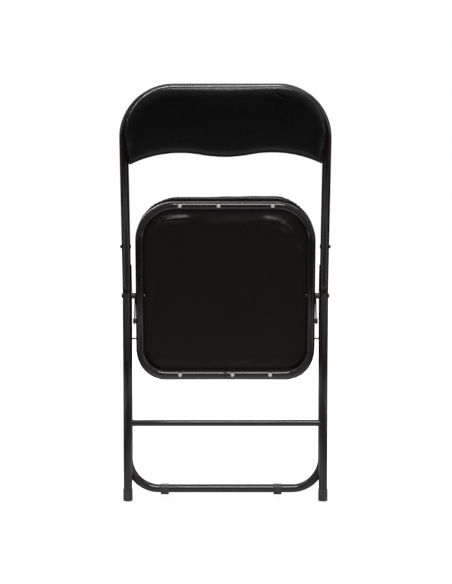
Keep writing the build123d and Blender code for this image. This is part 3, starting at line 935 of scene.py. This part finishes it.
def combine(tree: Tree, operation: str, first: object, second: object = 0.0) -> Socket:
    """The result of one operation on two values."""
    return add_node(tree, "ShaderNodeMath", {0: first, 1: second}, operation=operation).outputs[0]


def plus(tree: Tree, first: object, second: object) -> Socket:
    """The sum of two values."""
    return combine(tree, "ADD", first, second)


def times(tree: Tree, first: object, second: object) -> Socket:
    """The product of two values."""
    return combine(tree, "MULTIPLY", first, second)


def spread(tree: Tree, value: object, low: float, high: float, start: float = 0.0,
           end: float = 1.0) -> Socket:
    """The value carried from low..high to start..end along an S curve, and held at both ends."""
    values = {"Value": value, "From Min": low, "From Max": high, "To Min": start, "To Max": end}
    return add_node(tree, "ShaderNodeMapRange", values, interpolation_type="SMOOTHSTEP").outputs["Result"]


def tint(tree: Tree, share: object, first: object, second: object) -> Socket:
    """A mix of two colours, each a socket or three numbers."""
    pair = [(*colour, 1.0) if isinstance(colour, tuple) else colour for colour in (first, second)]
    return add_node(tree, "ShaderNodeMix", {0: share, 6: pair[0], 7: pair[1]}, data_type="RGBA").outputs[2]


def noise(tree: Tree, place: Socket, scale: object, detail: float = 2.0, rough: float = 0.5) -> Socket:
    """A noise texture's value at a place."""
    values = {"Vector": place, "Scale": scale, "Detail": detail, "Roughness": rough}
    return add_node(tree, "ShaderNodeTexNoise", values).outputs[0]


def new_group(name: str, inputs: dict[str, float], outputs: tuple[str, ...]) -> tuple[Tree, Sockets, Node]:
    """An empty shader group with its number sockets.

    Args:
        name: The group's name.
        inputs: The inputs' names, with what they hold at first.
        outputs: The outputs' names.

    Returns:
        The group, what its inputs give, and its output node.
    """
    tree = bpy.data.node_groups.new(name, "ShaderNodeTree")
    for label, value in inputs.items():
        socket = tree.interface.new_socket(name=label, in_out="INPUT", socket_type="NodeSocketFloat")
        socket.default_value = value
    for label in outputs:
        tree.interface.new_socket(name=label, in_out="OUTPUT", socket_type="NodeSocketFloat")
    return tree, tree.nodes.new("NodeGroupInput").outputs, tree.nodes.new("NodeGroupOutput")


def place_group(tree: Tree, group: Tree, **values: float) -> Sockets:
    """Places a group in a material.

    Args:
        tree: The material's tree.
        group: The group.
        values: What its inputs hold, by name, with _ for each space.

    Returns:
        What the group puts out.
    """
    node = tree.nodes.new("ShaderNodeGroup")
    node.node_tree = group
    for label, value in values.items():
        node.inputs[label.replace("_", " ")].default_value = value
    return node.outputs


def leather_grain_group() -> Tree:
    """Pressed leather grain: pebbles from the distance to Voronoi edges, on fine and slow noise.

    Returns:
        A group with a height, a tone and a wear mask.
    """
    tree, given, made = new_group("leather_grain", {"Pebbles": 900.0, "Creases": 60.0},
                                  ("Height", "Tone", "Worn"))
    place = object_place(tree)
    fine = {"Vector": place, "Scale": 260.0, "Detail": 1.0}
    bend = add_node(tree, "ShaderNodeTexNoise", fine).outputs["Color"]
    bent = add_node(tree, "ShaderNodeMix", {0: 0.0009, 4: place, 5: bend}, data_type="VECTOR").outputs[1]
    pebble = add_node(tree, "ShaderNodeTexVoronoi", {"Vector": bent, "Scale": given["Pebbles"]},
                      feature="DISTANCE_TO_EDGE").outputs["Distance"]
    valley = spread(tree, pebble, 0.0, 0.16)
    crease = noise(tree, place, given["Creases"], 5.0, 0.62)
    slow = noise(tree, place, 9.0, 3.0)
    feed(made, "Height", plus(tree, times(tree, valley, 0.55), times(tree, crease, 0.45)))
    feed(made, "Tone", times(tree, valley, spread(tree, slow, 0.3, 0.7, 0.75, 1.0)))
    feed(made, "Worn", spread(tree, slow, 0.25, 0.75))
    return tree


def settled_dust_group() -> Tree:
    """Dust that lies where a surface looks up: the normal's height times cloudy noise.

    Returns:
        A group with a mask.
    """
    tree, given, made = new_group("settled_dust", {"Amount": 0.5, "Clouds": 22.0}, ("Mask",))
    where = add_node(tree, "ShaderNodeTexCoord").outputs
    up = add_node(tree, "ShaderNodeSeparateXYZ", {0: where["Normal"]}).outputs["Z"]
    clouds = noise(tree, where["Object"], given["Clouds"], 6.0, 0.6)
    specks = noise(tree, where["Object"], 1400.0, 1.0)
    lying = times(tree, spread(tree, up, 0.15, 0.95), spread(tree, clouds, 0.35, 0.75, 0.25, 1.0))
    dotted = times(tree, lying, spread(tree, specks, 0.45, 0.7, 0.5, 1.0))
    feed(made, "Mask", times(tree, dotted, given["Amount"]))
    return tree


def handling_wear_group() -> Tree:
    """Wear from handling: long fine scratches, small chips, and slow rubbed areas.

    Returns:
        A group with masks for scratches, chips and rubbed areas.
    """
    tree, given, made = new_group("handling_wear", {"Scratch Amount": 0.5, "Chip Amount": 0.3},
                                  ("Scratches", "Chips", "Rubbed"))
    place = object_place(tree)
    drawn = add_node(tree, "ShaderNodeMapping",
                     {"Vector": place, "Rotation": (0.4, 0.2, 0.6), "Scale": (1.0, 1.0, 0.06)}).outputs[0]
    lines = noise(tree, drawn, 900.0, 2.0, 0.6)
    patches = noise(tree, place, 14.0, 3.0, 0.6)
    specks = noise(tree, place, 320.0, 4.0, 0.7)
    off_line = combine(tree, "ABSOLUTE", combine(tree, "SUBTRACT", lines, 0.5))
    scratches = times(tree, spread(tree, off_line, 0.0, 0.012, 1.0, 0.0), spread(tree, patches, 0.5, 0.66))
    chips = times(tree, spread(tree, specks, 0.73, 0.76), spread(tree, patches, 0.52, 0.7))
    feed(made, "Scratches", times(tree, scratches, given["Scratch Amount"]))
    feed(made, "Chips", times(tree, chips, given["Chip Amount"]))
    feed(made, "Rubbed", spread(tree, patches, 0.35, 0.75))
    return tree


def sprayed_skin_group() -> Tree:
    """The skin of a sprayed or moulded surface: a soft orange peel with a finer tooth.

    Returns:
        A group with a height.
    """
    tree, given, made = new_group("sprayed_skin", {"Peel": 260.0, "Tooth": 1500.0, "Tooth Share": 0.3},
                                  ("Height",))
    place = object_place(tree)
    peel = noise(tree, place, given["Peel"], 1.0, 0.4)
    tooth = noise(tree, place, given["Tooth"], 3.0, 0.6)
    feed(made, "Height", plus(tree, peel, times(tree, tooth, given["Tooth Share"])))
    return tree


@dataclass(frozen=True)
class Effects:
    """The node groups that the finishes share."""

    grain: Tree
    dust: Tree
    wear: Tree
    skin: Tree

    @classmethod
    def make(cls) -> Effects:
        """Builds each group once."""
        return cls(leather_grain_group(), settled_dust_group(), handling_wear_group(), sprayed_skin_group())


# ---------------------------------------------------------------- finishes
def raise_skin(tree: Tree, shader: Node, height: Socket, strength: float, depth: float) -> None:
    """Links a bump made from a height to the shader's normal."""
    bump = add_node(tree, "ShaderNodeBump", {"Strength": strength, "Distance": depth, "Height": height})
    feed(shader, "Normal", bump.outputs["Normal"])


class Finish(ABC):
    """What every finish has: a name, a refraction, and a coat of its own on a plain Principled shader."""

    name: str
    refraction: float = 1.5

    def build(self, effects: Effects) -> Material:
        """Makes the material and lays the coat on it.

        Args:
            effects: The shared node groups.

        Returns:
            The material.
        """
        material = bpy.data.materials.new(self.name)
        material.use_nodes = True
        tree = material.node_tree
        shader = next(node for node in tree.nodes if node.type == "BSDF_PRINCIPLED")
        shader.inputs["IOR"].default_value = self.refraction
        self.coat(tree, shader, effects)
        return material

    @abstractmethod
    def coat(self, tree: Tree, shader: Node, effects: Effects) -> None:
        """Links the finish's own colour, roughness and skin to the shader."""


@dataclass(frozen=True)
class GlossPaint(Finish):
    """Black gloss paint on steel tube, lightly scratched and chipped."""

    name: str
    colour: Colour = (0.0076, 0.0056, 0.0053)
    bare: Colour = (0.16, 0.155, 0.15)
    dust_tone: Colour = (0.20, 0.19, 0.18)
    roughness: float = 0.07
    rubbed_roughness: float = 0.13
    dust: float = 0.06

    def coat(self, tree: Tree, shader: Node, effects: Effects) -> None:
        """Paint chipped to bare metal and dusty on top, rougher where rubbed, with a soft orange peel.

        Args:
            tree: The material's tree.
            shader: The material's shader.
            effects: The shared node groups.
        """
        wear = place_group(tree, effects.wear, Scratch_Amount=0.2, Chip_Amount=0.12)
        dust = place_group(tree, effects.dust, Amount=self.dust, Clouds=18.0)["Mask"]
        skin = place_group(tree, effects.skin, Peel=240.0, Tooth=1600.0, Tooth_Share=0.12)["Height"]
        worn = tint(tree, wear["Chips"], self.colour, self.bare)
        feed(shader, "Base Color", tint(tree, dust, worn, self.dust_tone))
        rubbed = spread(tree, wear["Rubbed"], 0.0, 1.0, self.roughness, self.rubbed_roughness)
        scratched = plus(tree, rubbed, times(tree, wear["Scratches"], 0.25))
        feed(shader, "Roughness", plus(tree, scratched, times(tree, dust, 1.2)))
        raise_skin(tree, shader, skin, 0.08, 0.05 * MM)


@dataclass(frozen=True)
class Vinyl(Finish):
    """Black upholstery vinyl with a pressed leather grain."""

    name: str
    refraction: float = 1.37
    colour: Colour = (0.0014, 0.0010, 0.0010)
    valley: Colour = (0.0008, 0.0006, 0.0006)
    dust_tone: Colour = (0.16, 0.155, 0.15)
    roughness: float = 0.28
    worn_roughness: float = 0.25
    pebbles: float = 850.0
    grain_depth: float = 0.08 * MM
    dust: float = 0.05

    def coat(self, tree: Tree, shader: Node, effects: Effects) -> None:
        """Darker valleys between the grain's pebbles, dust on top, and glossier where worn.

        Args:
            tree: The material's tree.
            shader: The material's shader.
            effects: The shared node groups.
        """
        grain = place_group(tree, effects.grain, Pebbles=self.pebbles, Creases=70.0)
        dust = place_group(tree, effects.dust, Amount=self.dust, Clouds=26.0)["Mask"]
        base = tint(tree, grain["Tone"], self.valley, self.colour)
        feed(shader, "Base Color", tint(tree, dust, base, self.dust_tone))
        rough = spread(tree, grain["Worn"], 0.0, 1.0, self.roughness, self.worn_roughness)
        feed(shader, "Roughness", plus(tree, rough, dust))
        raise_skin(tree, shader, grain["Height"], 0.55, self.grain_depth)


@dataclass(frozen=True)
class Moulded(Finish):
    """A moulded rubber or plastic part."""

    name: str
    colour: Colour
    scuffed: Colour
    roughness: float
    dust_tone: Colour = (0.3, 0.29, 0.27)
    tooth_depth: float = 0.15 * MM

    def coat(self, tree: Tree, shader: Node, effects: Effects) -> None:
        """Scuffs and pale scratches, dust on top, and a fine moulded tooth.

        Args:
            tree: The material's tree.
            shader: The material's shader.
            effects: The shared node groups.
        """
        wear = place_group(tree, effects.wear, Scratch_Amount=0.7, Chip_Amount=0.6)
        dust = place_group(tree, effects.dust, Amount=0.35, Clouds=40.0)["Mask"]
        skin = place_group(tree, effects.skin, Peel=500.0, Tooth=2200.0, Tooth_Share=0.7)["Height"]
        rubbed = tint(tree, wear["Rubbed"], self.colour, self.scuffed)
        marks = combine(tree, "MAXIMUM", wear["Scratches"], wear["Chips"])
        marked = tint(tree, marks, rubbed, tuple(min(1.0, 2.2 * part) for part in self.scuffed))
        feed(shader, "Base Color", tint(tree, dust, marked, self.dust_tone))
        rough = spread(tree, wear["Rubbed"], 0.0, 1.0, self.roughness, self.roughness - 0.12)
        feed(shader, "Roughness", rough)
        raise_skin(tree, shader, skin, 0.5, self.tooth_depth)


@dataclass(frozen=True)
class PlatedMetal(Finish):
    """Zinc plate, with soft spangle and fine scratches."""

    name: str
    colour: Colour
    dull: Colour
    roughness: float
    metallic: float = 1.0

    def coat(self, tree: Tree, shader: Node, effects: Effects) -> None:
        """Plate that is duller and rougher where rubbed or scratched.

        Args:
            tree: The material's tree.
            shader: The material's shader.
            effects: The shared node groups.
        """
        shader.inputs["Metallic"].default_value = self.metallic
        wear = place_group(tree, effects.wear, Scratch_Amount=0.8, Chip_Amount=0.5)
        skin = place_group(tree, effects.skin, Peel=700.0, Tooth=2600.0, Tooth_Share=0.5)["Height"]
        dulled = tint(tree, wear["Rubbed"], self.colour, self.dull)
        feed(shader, "Base Color", tint(tree, wear["Scratches"], dulled, self.dull))
        rough = spread(tree, wear["Rubbed"], 0.0, 1.0, self.roughness, self.roughness + 0.14)
        feed(shader, "Roughness", plus(tree, rough, times(tree, wear["Scratches"], 0.2)))
        raise_skin(tree, shader, skin, 0.2, 0.08 * MM)


@dataclass(frozen=True)
class PressedBoard(Finish):
    """Plywood board: long grain lines and slow tone changes."""

    name: str
    refraction: float = 1.45
    light: Colour = (0.36, 0.23, 0.12)
    dark: Colour = (0.20, 0.115, 0.055)
    roughness: float = 0.62

    def coat(self, tree: Tree, shader: Node, effects: Effects) -> None:
        """Grain lines drawn out across the board, from noise on a squeezed place.

        Args:
            tree: The material's tree.
            shader: The material's shader.
            effects: The shared node groups.
        """
        squeezed = {"Vector": object_place(tree), "Scale": (0.05, 1.0, 1.0)}
        place = add_node(tree, "ShaderNodeMapping", squeezed).outputs[0]
        lines = noise(tree, place, 420.0, 6.0, 0.65)
        slow = noise(tree, place, 60.0, 3.0)
        skin = place_group(tree, effects.skin, Peel=300.0, Tooth=1800.0, Tooth_Share=0.8)["Height"]
        share = spread(tree, plus(tree, times(tree, lines, 0.7), times(tree, slow, 0.3)), 0.35, 0.65)
        feed(shader, "Base Color", tint(tree, share, self.dark, self.light))
        feed(shader, "Roughness", spread(tree, lines, 0.3, 0.7, self.roughness + 0.1, self.roughness))
        raise_skin(tree, shader, plus(tree, lines, skin), 0.4, 0.2 * MM)


@dataclass(frozen=True)
class Foam(Finish):
    """Open-cell foam: small round cells and a yellowed tone."""

    name: str
    refraction: float = 1.3
    colour: Colour = (0.72, 0.64, 0.42)
    cell: Colour = (0.40, 0.34, 0.20)

    def coat(self, tree: Tree, shader: Node, effects: Effects) -> None:
        """Cells from the distance to Voronoi points, darker inside.

        Args:
            tree: The material's tree.
            shader: The material's shader.
            effects: The shared node groups.
        """
        values = {"Vector": object_place(tree), "Scale": 700.0}
        cells = add_node(tree, "ShaderNodeTexVoronoi", values).outputs["Distance"]
        skin = place_group(tree, effects.skin, Peel=90.0, Tooth=1200.0, Tooth_Share=0.5)["Height"]
        feed(shader, "Base Color", tint(tree, spread(tree, cells, 0.2, 0.6), self.cell, self.colour))
        feed(shader, "Roughness", spread(tree, cells, 0.0, 1.0, 0.95, 0.85))
        raise_skin(tree, shader, plus(tree, cells, skin), 0.6, 0.6 * MM)


# ---------------------------------------------------------------- studio
@dataclass(frozen=True)
class Lamp:
    """A soft lamp, aimed at a point."""

    name: str
    place: Place
    target: Place
    size: tuple[float, float]
    watts: float

    def build(self) -> None:
        """Adds the lamp to the scene."""
        data = bpy.data.lights.new(self.name, "AREA")
        data.shape, data.size, data.size_y, data.energy = "RECTANGLE", *self.size, self.watts
        lamp = bpy.data.objects.new(self.name, data)
        bpy.context.scene.collection.objects.link(lamp)
        lamp.location = self.place
        aim = Vector(self.target) - Vector(self.place)
        lamp.rotation_euler = aim.to_track_quat("-Z", "Y").to_euler()


@dataclass(frozen=True)
class Studio:
    """A plain white studio: floor, world, soft lamps and the camera."""

    lamps: tuple[Lamp, ...] = (
        Lamp("ceiling_softbox", (0.0, 0.3, 3.0), (0.0, 0.3, 0.0), (4.0, 4.0), 48.0),
        Lamp("key_softbox", (0.25, -2.45, 2.85), (0.0, 0.0, 0.45), (1.2, 0.6), 52.0),
        Lamp("right_softbox", (2.3, -1.1, 0.9), (0.0, 0.0, 0.5), (1.0, 1.9), 3.0),
        Lamp("left_softbox", (-2.4, -0.2, 0.9), (0.0, 0.0, 0.5), (0.8, 1.9), 2.0),
        Lamp("rear_softbox", (-0.9, 2.6, 2.3), (0.0, 0.0, 0.45), (2.6, 1.8), 60.0),
    )
    floor_reach: float = 60.0
    floor_front: float = 2.6
    floor_gap: float = 0.4 * MM
    floor_colour: Colour = (0.9, 0.9, 0.9)
    focal_length: float = 71.49
    distance: float = 2.54
    pitch_deg: float = 3.2
    aim: Place = (0.0013, 0.0307, 0.462)

    def build(self) -> None:
        """Adds the floor, the world, the lamps and the camera."""
        self.floor()
        self.world()
        for lamp in self.lamps:
            lamp.build()
        self.camera()
        bpy.context.scene.view_settings.view_transform = "Standard"

    def floor(self) -> None:
        """The floor: one large quad just under the feet."""
        reach, front = self.floor_reach, -self.floor_front
        corners = [(-reach, front), (reach, front), (reach, reach), (-reach, reach)]
        mesh = bpy.data.meshes.new("studio_floor")
        mesh.from_pydata([(x, y, -self.floor_gap) for x, y in corners], [], [(0, 1, 2, 3)])
        mesh.materials.append(self.floor_finish())
        floor = bpy.data.objects.new("studio_floor", mesh)
        bpy.context.scene.collection.objects.link(floor)

    def floor_finish(self) -> Material:
        """The floor's finish: white to the eye, diffuse to the light, and a glow of its own in reflections.

        To the eye it glows more with the distance from the chair, where the lamps no longer reach.

        Returns:
            The material.
        """
        material = bpy.data.materials.new("studio_floor")
        material.use_nodes = True
        tree = material.node_tree
        tree.nodes.clear()
        path = add_node(tree, "ShaderNodeLightPath").outputs
        place = object_place(tree)
        far = add_node(tree, "ShaderNodeVectorMath", {0: place}, operation="LENGTH").outputs["Value"]
        clear = combine(tree, "MAXIMUM", path["Is Camera Ray"], path["Is Transmission Ray"])
        glowing = times(tree, clear, spread(tree, far, 0.6, 3.5, 0.30, 0.75))
        matt = add_node(tree, "ShaderNodeBsdfDiffuse", {"Color": (*self.floor_colour, 1.0)})
        glow = add_node(tree, "ShaderNodeEmission", {"Strength": glowing})
        seen = add_node(tree, "ShaderNodeAddShader", {0: matt.outputs[0], 1: glow.outputs[0]})
        mirrored = add_node(tree, "ShaderNodeEmission", {"Strength": self.floor_mirrored(tree, place, far)})
        shares = {0: path["Is Glossy Ray"], 1: seen.outputs[0], 2: mirrored.outputs[0]}
        shown = add_node(tree, "ShaderNodeMixShader", shares)
        add_node(tree, "ShaderNodeOutputMaterial", {"Surface": shown.outputs[0]})
        return material

    def floor_mirrored(self, tree: Tree, place: Socket, far: Socket) -> Socket:
        """How bright the floor is in reflections: pale under the chair and aside, and greyer ahead.

        One more pale patch lies ahead of the chair, and beyond it the floor gives nothing.

        Args:
            tree: The floor's node tree.
            place: The place on the floor.
            far: Its distance from the chair.

        Returns:
            The brightness.
        """
        axes = add_node(tree, "ShaderNodeSeparateXYZ", {0: place}).outputs
        ahead = times(tree, axes["Y"], -1.0)
        off_patch = combine(tree, "ABSOLUTE", combine(tree, "SUBTRACT", far, 1.65))
        patch = times(tree, spread(tree, off_patch, 0.0, 0.28, 0.42, 0.0), spread(tree, ahead, -0.3, 0.6))
        aside = spread(tree, combine(tree, "ABSOLUTE", axes["X"]), 0.7, 1.4, 0.0, 0.40)
        near = plus(tree, spread(tree, far, 0.2, 0.9, 0.82, 0.22), aside)
        end = times(tree, spread(tree, ahead, 1.75, 2.1, 1.0, 0.0), spread(tree, far, 2.2, 2.6, 1.0, 0.0))
        return times(tree, plus(tree, near, patch), end)

    def world(self) -> None:
        """White to the eye.  In reflections it is pale above, dark below and dimmer behind the chair."""
        world = bpy.data.worlds.new("studio")
        bpy.context.scene.world = world
        world.use_nodes = True
        tree = world.node_tree
        tree.nodes.clear()
        path = add_node(tree, "ShaderNodeLightPath").outputs
        direction = add_node(tree, "ShaderNodeTexCoord").outputs["Generated"]
        axes = add_node(tree, "ShaderNodeSeparateXYZ", {0: direction}).outputs
        level = plus(tree, 0.42, spread(tree, axes["X"], 0.2, 0.8, 0.0, 0.18))
        above = times(tree, level, spread(tree, axes["Z"], -0.16, -0.08))
        mirrored = times(tree, above, spread(tree, axes["Y"], 0.1, 0.9, 1.0, 0.35))
        plain = combine(tree, "MAXIMUM", path["Is Camera Ray"], path["Is Transmission Ray"])
        lit = combine(tree, "MAXIMUM", plain, times(tree, path["Is Glossy Ray"], mirrored))
        other = combine(tree, "SUBTRACT", 1.0, combine(tree, "MAXIMUM", plain, path["Is Glossy Ray"]))
        strength = plus(tree, lit, times(tree, other, 0.4))
        shell = add_node(tree, "ShaderNodeBackground", {"Color": (1.0, 1.0, 1.0, 1.0), "Strength": strength})
        add_node(tree, "ShaderNodeOutputWorld", {"Surface": shell.outputs[0]})

    def camera(self) -> None:
        """The camera: level with the chair's middle and pitched a little down."""
        data = bpy.data.cameras.new("camera")
        data.sensor_width, data.lens = 36.0, self.focal_length
        camera = bpy.data.objects.new("camera", data)
        bpy.context.scene.collection.objects.link(camera)
        pitch = math.radians(self.pitch_deg)
        x, y, z = self.aim
        camera.location = (x, y - self.distance * math.cos(pitch), z + self.distance * math.sin(pitch))
        camera.rotation_euler = (math.pi / 2.0 - pitch, 0.0, 0.0)
        bpy.context.scene.camera = camera


# ---------------------------------------------------------------- the chair
NODE_SLOTS = {part["node"]: Slot(part["material_slot"]) for part in frame["record"]["subparts"]}
HOOP_PLANE = LeanedPlane(30.7 * MM, 470.0 * MM, 11.4)
SEAT_PLANE = LeanedPlane(30.7 * MM, 454.0 * MM, 4.5)
SEAT_SCREW_SEAT = 6.8 * MM
BACKREST_SCREW_SEAT = 7.48 * MM
SEAT_SCREW_PLACES = (
    (-98.6 * MM, 196.8 * MM), (-14.8 * MM, 196.8 * MM), (102.3 * MM, 196.8 * MM),
    (-99.8 * MM, -175.4 * MM), (15.6 * MM, -175.4 * MM), (98.6 * MM, -175.4 * MM),
)
BACKREST_SCREW_PLACES = (
    (-195.1 * MM, 318.0 * MM), (-195.1 * MM, 352.0 * MM), (195.1 * MM, 318.0 * MM), (195.1 * MM, 352.0 * MM),
    (-80.0 * MM, 413.6 * MM), (80.0 * MM, 413.6 * MM),
)


@dataclass(frozen=True)
class Dressing:
    """Puts finishes from the record's material slots on pieces, ties them to the model's bodies, and hides
    the nodes that they stand for.
    """

    finishes: dict[Slot, Material]

    def wear(self, piece: Piece, body: Body, slot: Slot, *nodes: str,
             finish: Material | None = None) -> Piece:
        """Finishes a new piece and ties it to its body.

        Args:
            piece: The piece.
            body: The body that it rides on.
            slot: The material slot that it takes its finish from.
            nodes: The model's nodes that it stands for.
            finish: A finish of its own, in place of the slot's.

        Returns:
            The piece.
        """
        piece.data.materials.clear()
        piece.data.materials.append(finish or self.finishes[slot])
        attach(piece, body.value)
        if nodes:
            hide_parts(*nodes)
        faces = len(piece.data.polygons)
        LOG.info("%s rides on %s in %s: %d faces", piece.name, body.value, slot.value, faces)
        return piece

    def paint_nodes(self) -> None:
        """Gives every node of the model the finish of its slot."""
        for name, node in frame["nodes"].items():
            finish = self.finishes[NODE_SLOTS[name]]
            node.data.materials.clear()
            node.data.materials.append(finish)
            LOG.info("%s keeps its shape, in %s", name, finish.name)


def finish_set(effects: Effects) -> dict[Slot, Material]:
    """One finish for each of the record's material slots.

    Args:
        effects: The shared node groups.

    Returns:
        The materials by slot.
    """
    finishes = {
        Slot.PAINT: GlossPaint("gloss_black_paint"),
        Slot.RUBBER: Moulded("foot_rubber", (0.016, 0.016, 0.0165), (0.028, 0.0275, 0.027), 0.66),
        Slot.GLIDE: Moulded("glide_plastic", (0.010, 0.010, 0.0105), (0.020, 0.020, 0.021), 0.50),
        Slot.VINYL: Vinyl("upholstery_vinyl"),
        Slot.BOARD: PressedBoard("seat_and_back_board"),
        Slot.FOAM: Foam("cushion_foam"),
        Slot.ZINC: PlatedMetal("zinc_plate", (0.80, 0.79, 0.78), (0.62, 0.61, 0.60), 0.36, metallic=0.7),
        Slot.STEEL: GlossPaint("black_link_steel", roughness=0.28),
    }
    return {slot: finish.build(effects) for slot, finish in finishes.items()}


def build_chair(dressing: Dressing, lining: Material) -> None:
    """Builds the upholstery and the small metal details, and ties each to the model.

    Args:
        dressing: The finishes and ties.
        lining: The finish of the seat's underside sheet.
    """
    seat = SeatUpholstery(SEAT_PLANE)
    cushion = dressing.wear(seat.cushion(), Body.SEAT, Slot.VINYL, "seat_cover", "seat_foam")
    underside = dressing.wear(seat.underside(), Body.SEAT, Slot.VINYL, "seat_underside", finish=lining)
    backrest = BackrestUpholstery(HOOP_PLANE)
    pad = dressing.wear(backrest.cushion(), Body.FRONT, Slot.VINYL, "backrest_cover", "backrest_foam")
    screws = ScrewSet("seat_screw_heads", SEAT_PLANE, SEAT_SCREW_PLACES, SEAT_SCREW_SEAT, 1.0)
    dressing.wear(screws.build(), Body.SEAT, Slot.ZINC, "seat_screws")
    back_screws = ScrewSet("backrest_screw_heads", HOOP_PLANE, BACKREST_SCREW_PLACES,
                           BACKREST_SCREW_SEAT, -1.0)
    dressing.wear(back_screws.build(), Body.FRONT, Slot.ZINC, "backrest_screws")
    dressing.wear(CrossbarWelds().build(), Body.FRONT, Slot.PAINT)
    dressing.wear(RingSplice(SEAT_PLANE).build(), Body.SEAT, Slot.PAINT)


def main() -> None:
    """Builds the dressed chair and its studio."""
    logging.basicConfig(level=logging.INFO, format="%(name)s: %(message)s")
    effects = Effects.make()
    dressing = Dressing(finish_set(effects))
    dressing.paint_nodes()
    lining = Vinyl("lining_vinyl", colour=(0.0044, 0.0014, 0.0008), valley=(0.0028, 0.0009, 0.0006))
    build_chair(dressing, lining.build(effects))
    Studio().build()


if __name__ == "__main__":
    main()
